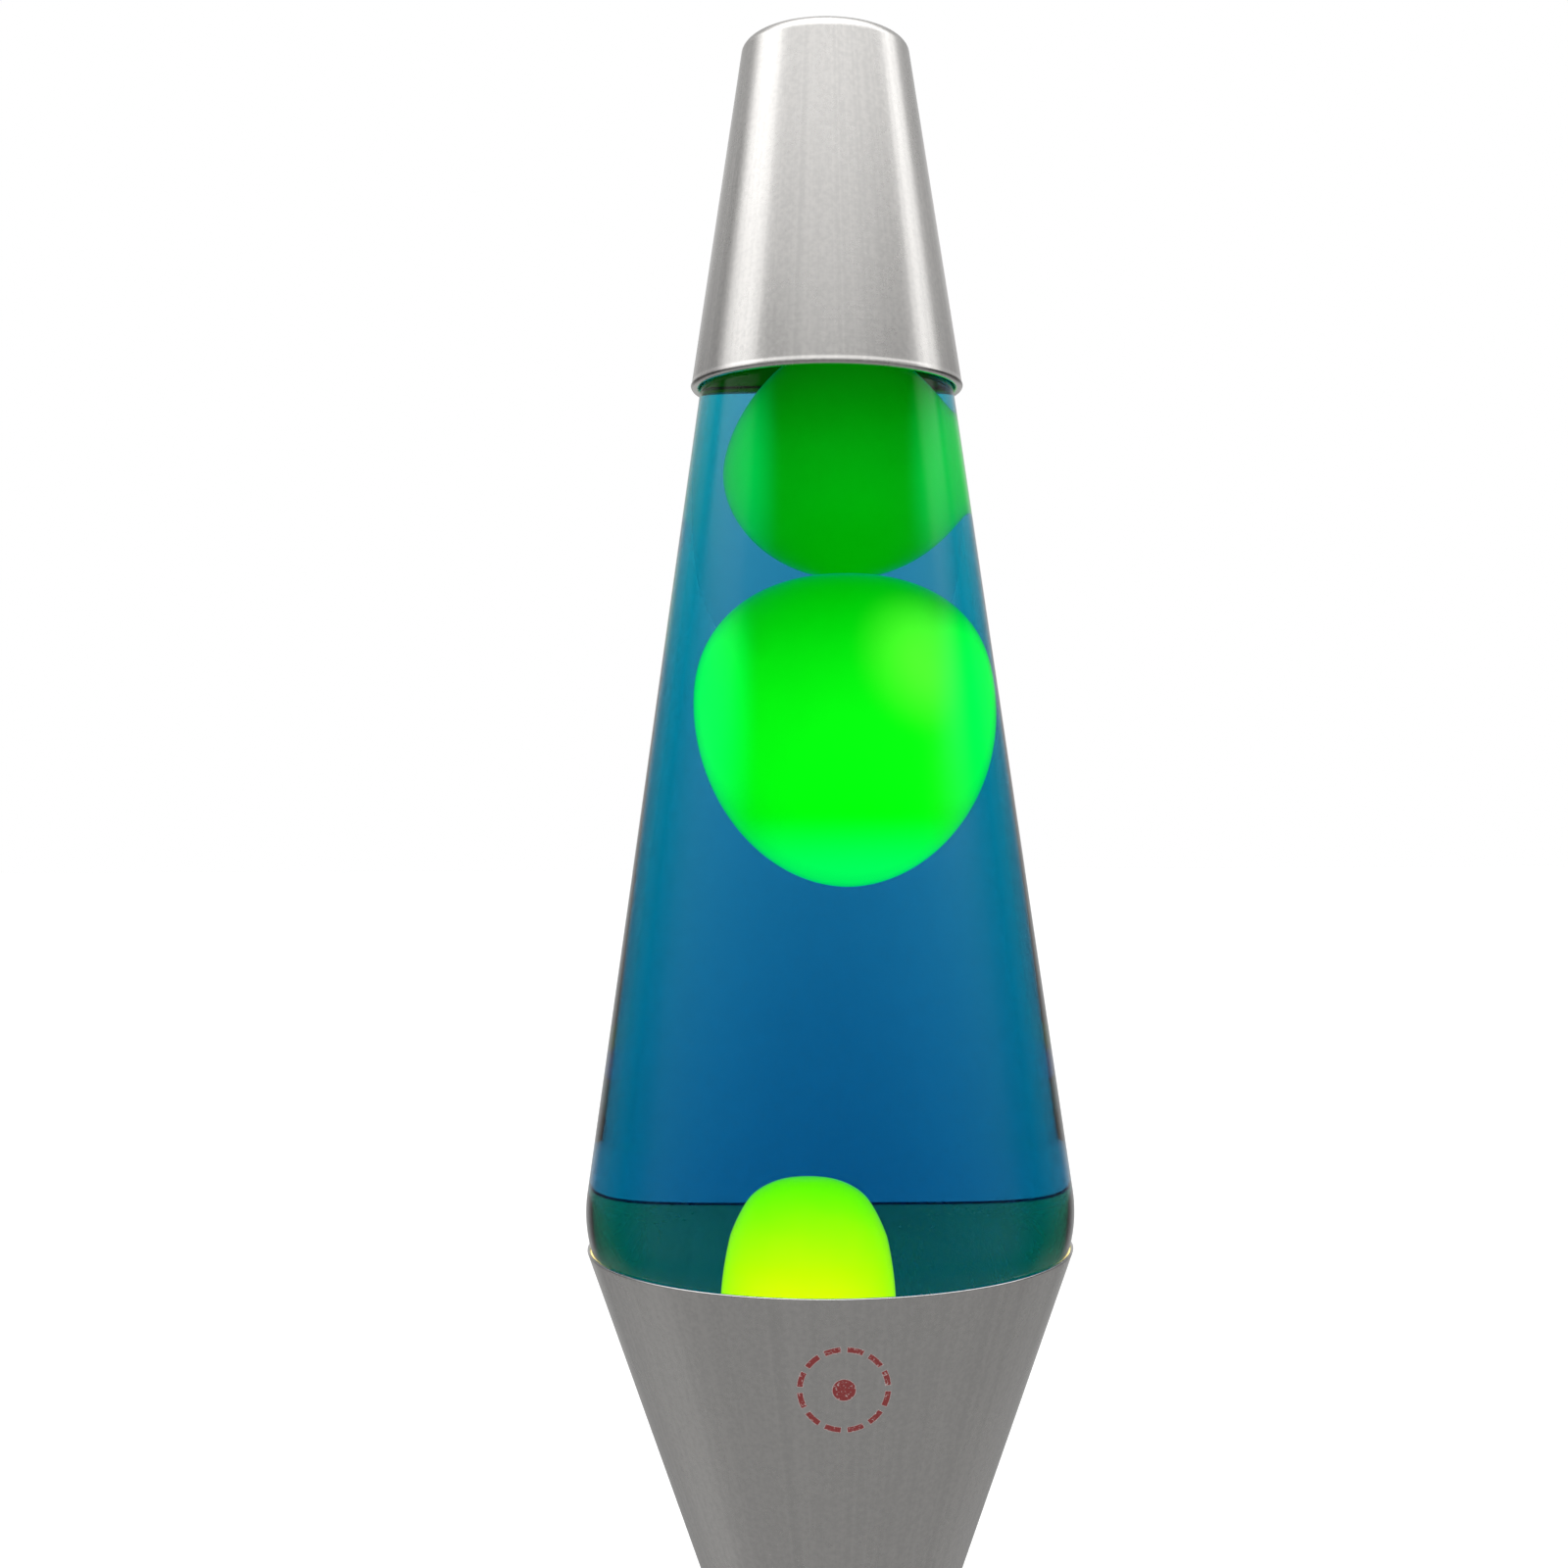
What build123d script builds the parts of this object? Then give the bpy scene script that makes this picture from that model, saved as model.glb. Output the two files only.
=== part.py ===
"""Lava lamp: a tapered glass globe of liquid and wax, between an aluminium cap and a waisted base.

Millimetres, +Z up. The origin is the centre of the plane that the rubber feet stand on, and the
lamp's front faces -Y. The cord enters at the back, +Y.
"""

import math
import os

from build123d import *

# ---------------------------------------------------------------- driving dimensions
# whole lamp
lamp_height = 368.0

# glass globe
glass_wall = 2.5
globe_bottom_z = 98.0
punt_rise = 4.0  # how far the bottom is pushed up at its middle
punt_half_share = 0.75  # share of that rise left halfway out to the foot
heel_z = 140.4  # height of the widest ring
heel_r = 47.3  # radius of the widest ring
heel_arc_r = 25.4  # curvature of the widest ring, in section
globe_lean = 8.22  # degrees, side above the widest ring
taper_lean = 24.0  # degrees, side below the widest ring
foot_corner_r = 6.0
shoulder_z = 336.0
shoulder_corner_r = 4.0
neck_r = 12.4
neck_z = 344.0
crown_z = 352.5  # lip of the bottle
crown_bead_r = 13.3
crown_bead_low_z = 347.2
crown_bead_under = 1.0  # height over which the neck widens to the bead
crown_bead_bevel = 1.2
mouth_r = 8.2
shoulder_ledge = 0.5  # step inside the shoulder where the wall turns in to the neck
glass_play = 0.05  # liquid and wax stand this far off the glass

# crown cap of the bottle
liner_thick = 1.0
liner_r = 12.8
tinplate = 0.3
crown_skirt_r = 16.0
crown_flutes = 21
crown_skirt_z = 348.4

# aluminium cap
cap_wall = 0.8
cap_rim_z = 299.3
cap_rim_r = 26.45
cap_lean = 8.76  # degrees
cap_corner_r = 4.8
cap_dome_at = 0.55  # share of the top's radius at which its dome is measured
cap_dome_drop = 0.3  # share of the dome's height lost there
cap_top_z = 367.6  # where the side would meet the top
curl_r = 0.8  # curled rim, in section

# liquid and wax
liquid_z = 318.0
pool_z = 122.0
dome_x = -3.2
dome_z = 128.0
dome_r = 12.9
dome_height = 18.5
meniscus_r = 5.0
wax_gap = 0.3  # room in the liquid round a drifting blob
middle_x = 2.6
middle_z = 237.0
middle_r = 22.4
middle_up = 26.4  # from the widest ring to the top
middle_down = 34.4  # from the widest ring to the bottom
top_x = 2.6
top_z = 291.0
top_r = 16.8
top_up = 23.6
top_down = 26.2
coil_ring_r = 21.0
coil_r = 1.6
coil_z = 104.8

# base
rim_z = 133.4
rim_r = 47.15
upper_slope = 0.348  # radius gained for each millimetre of height
cone_wall = 0.5
rim_round_share = 0.4  # of the wall, rounded off the rim's outer edge
cup_sheet = 0.8
waist_z = 60.0  # top of the lower cone
waist_hole_r = 15.0
foot_r = 50.0
foot_z = 3.0
foot_flange_r = 43.5
foot_bend_r = 1.4

# lampholder
cup_r = 14.0
cup_floor_z = 46.0
cup_flange_r = 21.0
cup_slot_w = 5.0
cup_slot_z = (49.5, 57.0)
holder_r = 10.6
holder_low_z = 27.0
holder_top_z = 50.5
holder_bore_r = 9.65
holder_floor_z = 31.0
holder_flange_r = 13.4
holder_flange_thick = 2.0
holder_shoulder = 0.6  # foot of the slope above the flange
holder_play = 0.1
ring_thick = 3.0
ring_r = 13.6
ring_flutes = 24
ring_flute_r = 0.6
thread_pitch = 2.822  # nine threads to the inch
thread_turns = 5
socket_ridge_r = 8.95
socket_ridge = 0.45
socket_shell_wall = 0.4
socket_shell_low_gap = 0.5
socket_shell_top_gap = 1.0
socket_first_ridge = 1.0  # above the bulb shell's lower end
contact_thick = 0.4
contact_tongue = (4.0, 2.2)
contact_tongue_gap = 0.1

# bulb
bulb_r = 17.46
bulb_tip_z = 91.5
bulb_glass = 0.6
bulb_neck_r = 7.9
bulb_neck_z = 50.3
bulb_lean = 26.5  # degrees, side of the neck
shell_r = 7.7
shell_wall = 0.5
shell_ridge = 0.6
shell_low_z = 36.0
shell_top_z = 51.4
bulb_contact_z = 32.8
bulb_contact_r = 3.0
bulb_contact_high = 2.0
bulb_contact_shoulder = (0.7, 0.35)  # share of the radius, and how high it is there
bulb_contact_side = 1.2  # where the dome meets the side
insulator_lip = (0.8, 1.4)  # width round the contact, and its height above it
insulator_step = 1.0
shell_first_ridge = 1.5
shell_collar_gap = (0.4, 0.8)  # the collar's inside and outside, off the neck
shell_collar_low = 2.0
shell_collar_bend = (1.1, 1.2)  # heights, below the top, of its bend inside and outside
stem_r = 3.0
stem_top_z = 63.0
stem_flare_high = 1.0
stem_press_high = 3.0
stem_press_share = 0.8
support_tip_x = 7.0
filament_z = 74.0
filament_hook = 0.6  # height of its ends above the support tips
filament_rise = 1.6
filament_inset = 1.0
filament_bow = 4.5
filament_corner_r = 1.5
support_wire_r = 0.3
filament_r = 0.2

# fasteners
stud_circle_r = 18.2
stud_angles = (-90.0, 30.0, 150.0)
screw_r = 1.45
screw_hole_r = 1.6
tapped_r = 1.5
tapped_depth = 8.5
head_r = 2.75
head_high = 1.5
recess_w = 0.7
recess_depth = 0.8
head_round_share = 1 / 3
washer_r = 2.9
washer_thick = 0.5
standoff_flats = 5.0

# base plate and feet
plate_z = 2.0
plate_r = 47.0
vent_slots = 8
vent_r = 30.0
vent_size = (12.0, 3.0)
pad_r = 5.5
pad_circle_r = 39.0
pad_count = 4

# terminal block and wiring
block_size = (18.0, 12.0, 9.5)
block_y = 26.0
tube_x = 4.6
tube_z = 8.0
tube_r = 2.0
tube_bore_r = 1.3
clamp_screw_r = 1.1
clamp_screw_y = 3.0
clamp_screw_high = 2.6
clamp_screw_play = 0.3
clamp_slot = (0.4, 0.4)  # width and depth
block_corner_r = 1.0
block_screw_tip = 1.2  # length that shows under the plate
tube_end_gap = 1.0
wire_r = 0.9
wire_start_x = 4.0
wire_socket = 2.0  # depth that a wire goes up into the lampholder
wire_drop = (0.2, 0.6, 10.0)  # where it has come to below the lampholder: out, back and down
wire_knee = (0.1, 8.0, 0.2)  # where it turns back: in from the tube, back, and above the tube
wire_end = 2.0  # length inside the block
wire_corner_share = 0.45  # of the shorter run, used up by each bend

# cord bushing
bushing_z = 14.0
bushing_r = 5.0
bushing_bore_r = 3.2
bushing_flange_r = 6.6
bushing_y = (37.0, 47.6)
bushing_lip_y = 39.5

# ---------------------------------------------------------------- derived dimensions
plate_thick = foot_z - plate_z
upper_z = waist_z + cup_sheet  # underside of the upper cone's flange
upper_waist_r = rim_r - upper_slope * (rim_z - upper_z)
wall_across = cone_wall * math.hypot(1.0, upper_slope)
lower_slope = (foot_r - upper_waist_r) / (waist_z - foot_z)
lower_wall_across = cone_wall * math.hypot(1.0, lower_slope)
heel_axis_r = heel_r - heel_arc_r
cap_slope = math.tan(math.radians(cap_lean))
bulb_axis_z = bulb_tip_z - bulb_r
cutter = 4.0  # sheet thicknesses that a hole's cutter is long
touch = 0.01  # window for picking edges by height

os.makedirs("parts", exist_ok=True)


def save(piece, name):
    """Label a finished piece and write its STEP file."""
    piece.label = name
    export_step(piece, f"parts/{name}.step")


def globe_side_r(height, inset):
    """Radius of the globe's upper side at a height, that far inside the glass surface."""
    lean = math.radians(globe_lean)
    return heel_axis_r + (heel_arc_r - inset - (height - heel_z) * math.sin(lean)) / math.cos(lean)


def globe_taper_r(height, inset):
    """Radius of the globe's lower taper at a height, that far inside the glass surface."""
    lean = math.radians(taper_lean)
    return heel_axis_r + (heel_arc_r - inset - (heel_z - height) * math.sin(lean)) / math.cos(lean)


def globe_section(inset, top):
    """Half-section of the globe's body up to a flat top, that far inside the glass surface."""
    floor = globe_bottom_z + inset
    foot = globe_taper_r(floor, inset)
    arc_r = heel_arc_r - inset
    with BuildSketch(Plane.XZ) as section:
        with BuildLine():
            bottom = ThreePointArc(
                (0, floor + punt_rise),
                (foot / 2, floor + punt_rise * punt_half_share),
                (foot, floor),
            )
            heel = CenterArc((heel_axis_r, heel_z), arc_r, -taper_lean, taper_lean + globe_lean)
            Line(bottom @ 1, heel @ 0)
            Polyline(heel @ 1, (globe_side_r(top, inset), top), (0, top), (0, floor + punt_rise))
        make_face()
        corner = section.vertices().sort_by_distance(Vector(foot, floor))[0]
        fillet(corner, foot_corner_r - inset)
    return section.sketch


def egg_section(x, z, radius, up, down):
    """Right half of an egg-shaped section on a vertical axis at x, with its widest ring at z."""
    with BuildSketch(Plane.XZ) as section:
        with BuildLine():
            Spline((x, z + up), (x + radius, z), tangents=((1, 0), (0, -1)))
            Spline((x + radius, z), (x, z - down), tangents=((0, -1), (-1, 0)))
            Line((x, z - down), (x, z + up))
        make_face()
    return section.sketch


def upright(x):
    """A vertical axis through x on the front-to-back midplane."""
    return Axis((x, 0, 0), (0, 0, 1))


def pan_screws(places, head_z, length, upward):
    """Pan-head screws on a list of points, heads at head_z, pointing up or down."""
    sign = 1 if upward else -1
    shank_side = Align.MIN if upward else Align.MAX
    head_side = Align.MAX if upward else Align.MIN
    with BuildPart() as screws:
        with Locations(*[(x, y, head_z) for x, y in places]):
            Cylinder(screw_r, length, align=(Align.CENTER, Align.CENTER, shank_side))
            Cylinder(head_r, head_high, align=(Align.CENTER, Align.CENTER, head_side))
        head_face_z = head_z - sign * head_high
        rims = screws.edges().filter_by_position(Axis.Z, head_face_z - touch, head_face_z + touch)
        fillet(rims, head_high * head_round_share)
        with Locations(*[(x, y, head_face_z + sign * recess_depth / 2) for x, y in places]):
            Box(head_r, recess_w, recess_depth, mode=Mode.SUBTRACT)
            Box(recess_w, head_r, recess_depth, mode=Mode.SUBTRACT)
    return screws.part


# ---------------------------------------------------------------- glass globe
with BuildPart() as glass_globe:
    add(globe_section(0, shoulder_z))
    revolve(axis=Axis.Z)
    with BuildSketch(Plane.XZ):
        with BuildLine():
            Polyline(
                (0, shoulder_z),
                (globe_side_r(shoulder_z, 0), shoulder_z),
                (neck_r, neck_z),
                (neck_r, crown_bead_low_z - crown_bead_under),
                (crown_bead_r, crown_bead_low_z),
                (crown_bead_r, crown_z - crown_bead_bevel),
                (crown_bead_r - crown_bead_bevel, crown_z),
                (0, crown_z),
                close=True,
            )
        make_face()
    revolve(axis=Axis.Z)
    shoulder_ring = glass_globe.edges().filter_by(GeomType.CIRCLE).sort_by_distance(
        Vector(globe_side_r(shoulder_z, 0), 0, shoulder_z)
    )[0]
    fillet(shoulder_ring, shoulder_corner_r)
    cavity_top_z = shoulder_z - glass_wall / 2
    neck_foot_r = globe_side_r(cavity_top_z, glass_wall) - shoulder_ledge
    add(globe_section(glass_wall, cavity_top_z))
    revolve(axis=Axis.Z, mode=Mode.SUBTRACT)
    with BuildSketch(Plane.XZ):
        with BuildLine():
            Polyline(
                (0, cavity_top_z - shoulder_ledge),
                (neck_foot_r, cavity_top_z - shoulder_ledge),
                (neck_foot_r, cavity_top_z),
                (mouth_r, neck_z),
                (mouth_r, crown_z),
                (0, crown_z),
                close=True,
            )
        make_face()
    revolve(axis=Axis.Z, mode=Mode.SUBTRACT)
save(glass_globe.part, "glass_globe")

# ---------------------------------------------------------------- crown cap and its liner
crown_top_z = crown_z + liner_thick
with BuildPart() as crown_liner:
    with BuildSketch(Plane.XY.offset(crown_z)):
        Circle(liner_r)
    extrude(amount=liner_thick)
save(crown_liner.part, "crown_liner")


def crown_outline(height, crest, valley):
    """A closed outline with one crest and one valley for each flute of the crown cap."""
    step = 180.0 / crown_flutes
    radii = [crest, valley] * crown_flutes
    points = []
    for index, radius in enumerate(radii):
        angle = math.radians(index * step)
        points.append((radius * math.cos(angle), radius * math.sin(angle)))
    with BuildSketch(Plane.XY.offset(height)) as outline:
        with BuildLine():
            Polyline(*points, close=True)
        make_face()
    return outline.sketch


crown_valley = crown_bead_r + 2 * tinplate
with BuildPart() as crown_cap:
    add(crown_outline(crown_skirt_z, crown_skirt_r, crown_valley + tinplate))
    add(crown_outline(crown_top_z + tinplate, crown_valley, crown_valley))
    loft(ruled=True)
    add(crown_outline(crown_skirt_z, crown_skirt_r - tinplate, crown_valley))
    add(crown_outline(crown_top_z, crown_valley - tinplate, crown_valley - tinplate))
    loft(ruled=True, mode=Mode.SUBTRACT)
save(crown_cap.part, "crown_cap")


# ---------------------------------------------------------------- aluminium cap
def cap_section(inset, low_z):
    """Half-section of the cap down to low_z, that far inside its outer surface."""
    shift = inset / math.cos(math.radians(cap_lean))
    corner_r = cap_rim_r - cap_slope * (cap_top_z - inset - cap_rim_z) - shift
    with BuildSketch(Plane.XZ) as section:
        with BuildLine():
            crown = ThreePointArc(
                (0, lamp_height - inset),
                (corner_r * cap_dome_at, lamp_height - cap_dome_drop * (lamp_height - cap_top_z) - inset),
                (corner_r, cap_top_z - inset),
            )
            Polyline(
                crown @ 1,
                (cap_rim_r - cap_slope * (low_z - cap_rim_z) - shift, low_z),
                (0, low_z),
                (0, lamp_height - inset),
            )
        make_face()
        corner = section.vertices().sort_by_distance(Vector(corner_r, cap_top_z - inset))[0]
        fillet(corner, cap_corner_r - inset)
    return section.sketch


with BuildPart() as cap_shell:
    add(cap_section(0, cap_rim_z + curl_r))
    revolve(axis=Axis.Z)
    add(cap_section(cap_wall, cap_rim_z + curl_r))
    revolve(axis=Axis.Z, mode=Mode.SUBTRACT)
    with BuildSketch(Plane.XZ):
        with Locations((cap_rim_r - curl_r, cap_rim_z + curl_r)):
            Circle(curl_r)
    revolve(axis=Axis.Z)
save(cap_shell.part, "cap_shell")

# ---------------------------------------------------------------- wax and liquid
body_inset = glass_wall + glass_play
with BuildPart() as wax_pool:
    add(globe_section(body_inset, liquid_z))
    revolve(axis=Axis.Z)
    split(bisect_by=Plane.XY.offset(pool_z), keep=Keep.BOTTOM)
    add(egg_section(dome_x, dome_z, dome_r, dome_height, dome_height))
    revolve(axis=upright(dome_x))
    level_edges = wax_pool.edges().filter_by_position(Axis.Z, pool_z - touch, pool_z + touch)
    shore = level_edges.sort_by(SortBy.LENGTH)[0]
    fillet(shore, meniscus_r)
save(wax_pool.part, "wax_pool")

with BuildPart() as wire_coil:
    with BuildSketch(Plane.XZ):
        with Locations((coil_ring_r, coil_z)):
            Circle(coil_r)
    revolve(axis=Axis.Z)
save(wire_coil.part, "wire_coil")

with BuildPart() as wax_blob_middle:
    add(egg_section(middle_x, middle_z, middle_r, middle_up, middle_down))
    revolve(axis=upright(middle_x))
save(wax_blob_middle.part, "wax_blob_middle")

with BuildPart() as wax_blob_top:
    add(egg_section(top_x, top_z, top_r, top_up, top_down))
    revolve(axis=upright(top_x))
save(wax_blob_top.part, "wax_blob_top")

with BuildPart() as liquid:
    add(globe_section(body_inset, liquid_z))
    revolve(axis=Axis.Z)
    add(egg_section(middle_x, middle_z, *[size + wax_gap for size in (middle_r, middle_up, middle_down)]))
    revolve(axis=upright(middle_x), mode=Mode.SUBTRACT)
    add(egg_section(top_x, top_z, top_r + wax_gap, top_up + wax_gap, top_down + wax_gap))
    revolve(axis=upright(top_x), mode=Mode.SUBTRACT)
    add(wax_pool.part, mode=Mode.SUBTRACT)
save(liquid.part, "liquid")

# ---------------------------------------------------------------- cones of the base
stud_places = []
for degrees in stud_angles:
    radians = math.radians(degrees)
    stud_places.append((stud_circle_r * math.cos(radians), stud_circle_r * math.sin(radians)))

with BuildPart() as base_upper_cone:
    with BuildSketch(Plane.XZ) as upper_section:
        with BuildLine():
            Polyline(
                (waist_hole_r, upper_z),
                (upper_waist_r, upper_z),
                (rim_r, rim_z),
                (rim_r - wall_across, rim_z),
                (upper_waist_r - wall_across + upper_slope * cone_wall, upper_z + cone_wall),
                (waist_hole_r, upper_z + cone_wall),
                close=True,
            )
        make_face()
        lip = upper_section.vertices().sort_by_distance(Vector(rim_r, rim_z))[0]
        fillet(lip, cone_wall * rim_round_share)
    revolve(axis=Axis.Z)
    with Locations(*[(x, y, upper_z) for x, y in stud_places]):
        Cylinder(screw_hole_r, cutter * cone_wall, mode=Mode.SUBTRACT)
save(base_upper_cone.part, "base_upper_cone")

with BuildPart() as lower_cone_space:
    with BuildSketch(Plane.XZ):
        with BuildLine():
            Polyline(
                (0, foot_z),
                (foot_r, foot_z),
                (upper_waist_r, waist_z),
                (0, waist_z),
                close=True,
            )
        make_face()
    revolve(axis=Axis.Z)

with BuildPart() as base_lower_cone:
    with BuildSketch(Plane.XZ) as lower_section:
        with BuildLine():
            Polyline(
                (waist_hole_r, waist_z),
                (upper_waist_r, waist_z),
                (foot_r, foot_z),
                (foot_flange_r, foot_z),
                (foot_flange_r, foot_z + cone_wall),
                (foot_r - lower_wall_across - lower_slope * cone_wall, foot_z + cone_wall),
                (upper_waist_r - lower_wall_across + lower_slope * cone_wall, waist_z - cone_wall),
                (waist_hole_r, waist_z - cone_wall),
                close=True,
            )
        make_face()
        bend = lower_section.vertices().sort_by_distance(Vector(foot_r, foot_z))[0]
        fillet(bend, foot_bend_r)
        inner_bend = lower_section.vertices().sort_by_distance(
            Vector(foot_r - lower_wall_across - lower_slope * cone_wall, foot_z + cone_wall)
        )[0]
        fillet(inner_bend, foot_bend_r - cone_wall)
    revolve(axis=Axis.Z)
    with Locations(*[(x, y, waist_z) for x, y in stud_places]):
        Cylinder(screw_hole_r, cutter * cone_wall, mode=Mode.SUBTRACT)
    with BuildSketch(Plane.XZ.offset(-bushing_lip_y)):
        with Locations((0, bushing_z)):
            Circle(bushing_r)
    extrude(amount=-(foot_r - bushing_lip_y), mode=Mode.SUBTRACT)
save(base_lower_cone.part, "base_lower_cone")

# ---------------------------------------------------------------- pressed cup at the waist
with BuildPart() as socket_cup:
    with BuildSketch(Plane.XZ):
        with BuildLine():
            Polyline(
                (holder_r + holder_play, cup_floor_z),
                (cup_r + cup_sheet, cup_floor_z),
                (cup_r + cup_sheet, waist_z),
                (cup_flange_r, waist_z),
                (cup_flange_r, upper_z),
                (cup_r, upper_z),
                (cup_r, cup_floor_z + cup_sheet),
                (holder_r + holder_play, cup_floor_z + cup_sheet),
                close=True,
            )
        make_face()
    revolve(axis=Axis.Z)
    with Locations(*[(x, y, waist_z) for x, y in stud_places]):
        Cylinder(screw_hole_r, cutter * cup_sheet, mode=Mode.SUBTRACT)
    slot_low_z, slot_high_z = cup_slot_z
    with Locations((0, 0, slot_low_z)):
        Box(
            cup_slot_w,
            cutter * cup_r,
            slot_high_z - slot_low_z,
            align=(Align.CENTER, Align.CENTER, Align.MIN),
            mode=Mode.SUBTRACT,
        )
        Box(
            cutter * cup_r,
            cup_slot_w,
            slot_high_z - slot_low_z,
            align=(Align.CENTER, Align.CENTER, Align.MIN),
            mode=Mode.SUBTRACT,
        )
save(socket_cup.part, "socket_cup")

# ---------------------------------------------------------------- lampholder
cup_seat_z = cup_floor_z + cup_sheet
with BuildPart() as socket_body:
    with BuildSketch(Plane.XZ):
        with BuildLine():
            Polyline(
                (0, holder_low_z),
                (holder_r, holder_low_z),
                (holder_r, cup_seat_z),
                (holder_flange_r, cup_seat_z),
                (holder_flange_r, cup_seat_z + holder_flange_thick),
                (holder_r + holder_shoulder, cup_seat_z + holder_flange_thick),
                (holder_r, holder_top_z),
                (holder_bore_r, holder_top_z),
                (holder_bore_r, holder_floor_z),
                (0, holder_floor_z),
                close=True,
            )
        make_face()
    revolve(axis=Axis.Z)
    with Locations((wire_start_x, 0, holder_low_z), (-wire_start_x, 0, holder_low_z)):
        Cylinder(
            wire_r + holder_play,
            wire_socket,
            align=(Align.CENTER, Align.CENTER, Align.MIN),
            mode=Mode.SUBTRACT,
        )
save(socket_body.part, "socket_body")

with BuildPart() as socket_ring:
    with BuildSketch(Plane.XY.offset(cup_floor_z - ring_thick)):
        Circle(ring_r)
        with PolarLocations(ring_r, ring_flutes):
            Circle(ring_flute_r, mode=Mode.SUBTRACT)
        Circle(holder_r + holder_play, mode=Mode.SUBTRACT)
    extrude(amount=ring_thick)
save(socket_ring.part, "socket_ring")


def threaded_tube(outer, wall, low_z, top_z, ridge_axis_r, ridge_r, first_ridge_z):
    """A thin tube with one rounded ridge for each turn of thread."""
    with BuildPart() as tube:
        with BuildSketch(Plane.XY.offset(low_z)):
            Circle(outer)
            Circle(outer - wall, mode=Mode.SUBTRACT)
        extrude(amount=top_z - low_z)
        with BuildSketch(Plane.XZ):
            for turn in range(thread_turns):
                with Locations((ridge_axis_r, first_ridge_z + turn * thread_pitch)):
                    Circle(ridge_r)
        revolve(axis=Axis.Z)
    return tube.part


socket_screw_shell = threaded_tube(
    socket_ridge_r + socket_shell_wall,
    socket_shell_wall,
    holder_floor_z + socket_shell_low_gap,
    holder_top_z - socket_shell_top_gap,
    socket_ridge_r + socket_shell_wall / 2,
    socket_ridge,
    shell_low_z + socket_first_ridge,
)
save(socket_screw_shell, "socket_screw_shell")

with BuildPart() as socket_centre_contact:
    with BuildSketch(Plane.XY.offset(holder_floor_z)):
        Circle(bulb_contact_r)
    extrude(amount=contact_thick)
    with BuildSketch(Plane.XY.offset(holder_floor_z + contact_thick)):
        Rectangle(*contact_tongue)
    extrude(amount=bulb_contact_z - holder_floor_z - contact_thick - contact_tongue_gap)
save(socket_centre_contact.part, "socket_centre_contact")

# ---------------------------------------------------------------- bulb
shoulder_share, shoulder_rise = bulb_contact_shoulder
with BuildPart() as bulb_contact:
    with BuildSketch(Plane.XZ):
        with BuildLine():
            dome = ThreePointArc(
                (0, bulb_contact_z),
                (bulb_contact_r * shoulder_share, bulb_contact_z + shoulder_rise),
                (bulb_contact_r, bulb_contact_z + bulb_contact_side),
            )
            Polyline(
                dome @ 1,
                (bulb_contact_r, bulb_contact_z + bulb_contact_high),
                (0, bulb_contact_z + bulb_contact_high),
                (0, bulb_contact_z),
            )
        make_face()
    revolve(axis=Axis.Z)
save(bulb_contact.part, "bulb_contact")

insulator_lip_w, insulator_lip_z = insulator_lip
with BuildPart() as bulb_insulator:
    with BuildSketch(Plane.XZ):
        with BuildLine():
            Polyline(
                (0, bulb_contact_z + bulb_contact_high),
                (bulb_contact_r, bulb_contact_z + bulb_contact_high),
                (bulb_contact_r, bulb_contact_z + insulator_lip_z),
                (bulb_contact_r + insulator_lip_w, bulb_contact_z + insulator_lip_z),
                (shell_r - shell_wall, shell_low_z),
                (shell_r - shell_wall, shell_low_z + insulator_step),
                (0, shell_low_z + insulator_step),
                close=True,
            )
        make_face()
    revolve(axis=Axis.Z)
save(bulb_insulator.part, "bulb_insulator")

collar_in, collar_out = shell_collar_gap
collar_bend_in, collar_bend_out = shell_collar_bend
with BuildPart() as bulb_screw_shell:
    add(
        threaded_tube(
            shell_r,
            shell_wall,
            shell_low_z,
            shell_top_z - shell_collar_low,
            shell_r,
            shell_ridge,
            shell_low_z + shell_first_ridge,
        )
    )
    with BuildSketch(Plane.XZ):
        with BuildLine():
            Polyline(
                (shell_r - shell_wall, shell_top_z - shell_collar_low),
                (shell_r, shell_top_z - shell_collar_low),
                (bulb_neck_r + collar_out, shell_top_z - collar_bend_out),
                (bulb_neck_r + collar_out, shell_top_z),
                (bulb_neck_r + collar_in, shell_top_z),
                (bulb_neck_r + collar_in, shell_top_z - collar_bend_in),
                close=True,
            )
        make_face()
    revolve(axis=Axis.Z)
save(bulb_screw_shell.part, "bulb_screw_shell")


def bulb_section(inset):
    """Half-section of the envelope's space, that far inside the glass surface."""
    radius = bulb_r - inset
    lean = math.radians(bulb_lean)
    tangent_r = radius * math.cos(lean)
    tangent_z = bulb_axis_z - radius * math.sin(lean)
    neck_end_z = tangent_z - (tangent_r - bulb_neck_r + inset) / math.tan(lean)
    with BuildSketch(Plane.XZ) as section:
        with BuildLine():
            ball = CenterArc((0, bulb_axis_z), radius, -bulb_lean, 90 + bulb_lean)
            Polyline(
                ball @ 0,
                (bulb_neck_r - inset, neck_end_z),
                (bulb_neck_r - inset, bulb_neck_z),
                (0, bulb_neck_z),
                ball @ 1,
            )
        make_face()
    return section.sketch


with BuildPart() as bulb_envelope:
    add(bulb_section(0))
    revolve(axis=Axis.Z)
    add(bulb_section(bulb_glass))
    revolve(axis=Axis.Z, mode=Mode.SUBTRACT)
save(bulb_envelope.part, "bulb_envelope")

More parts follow.
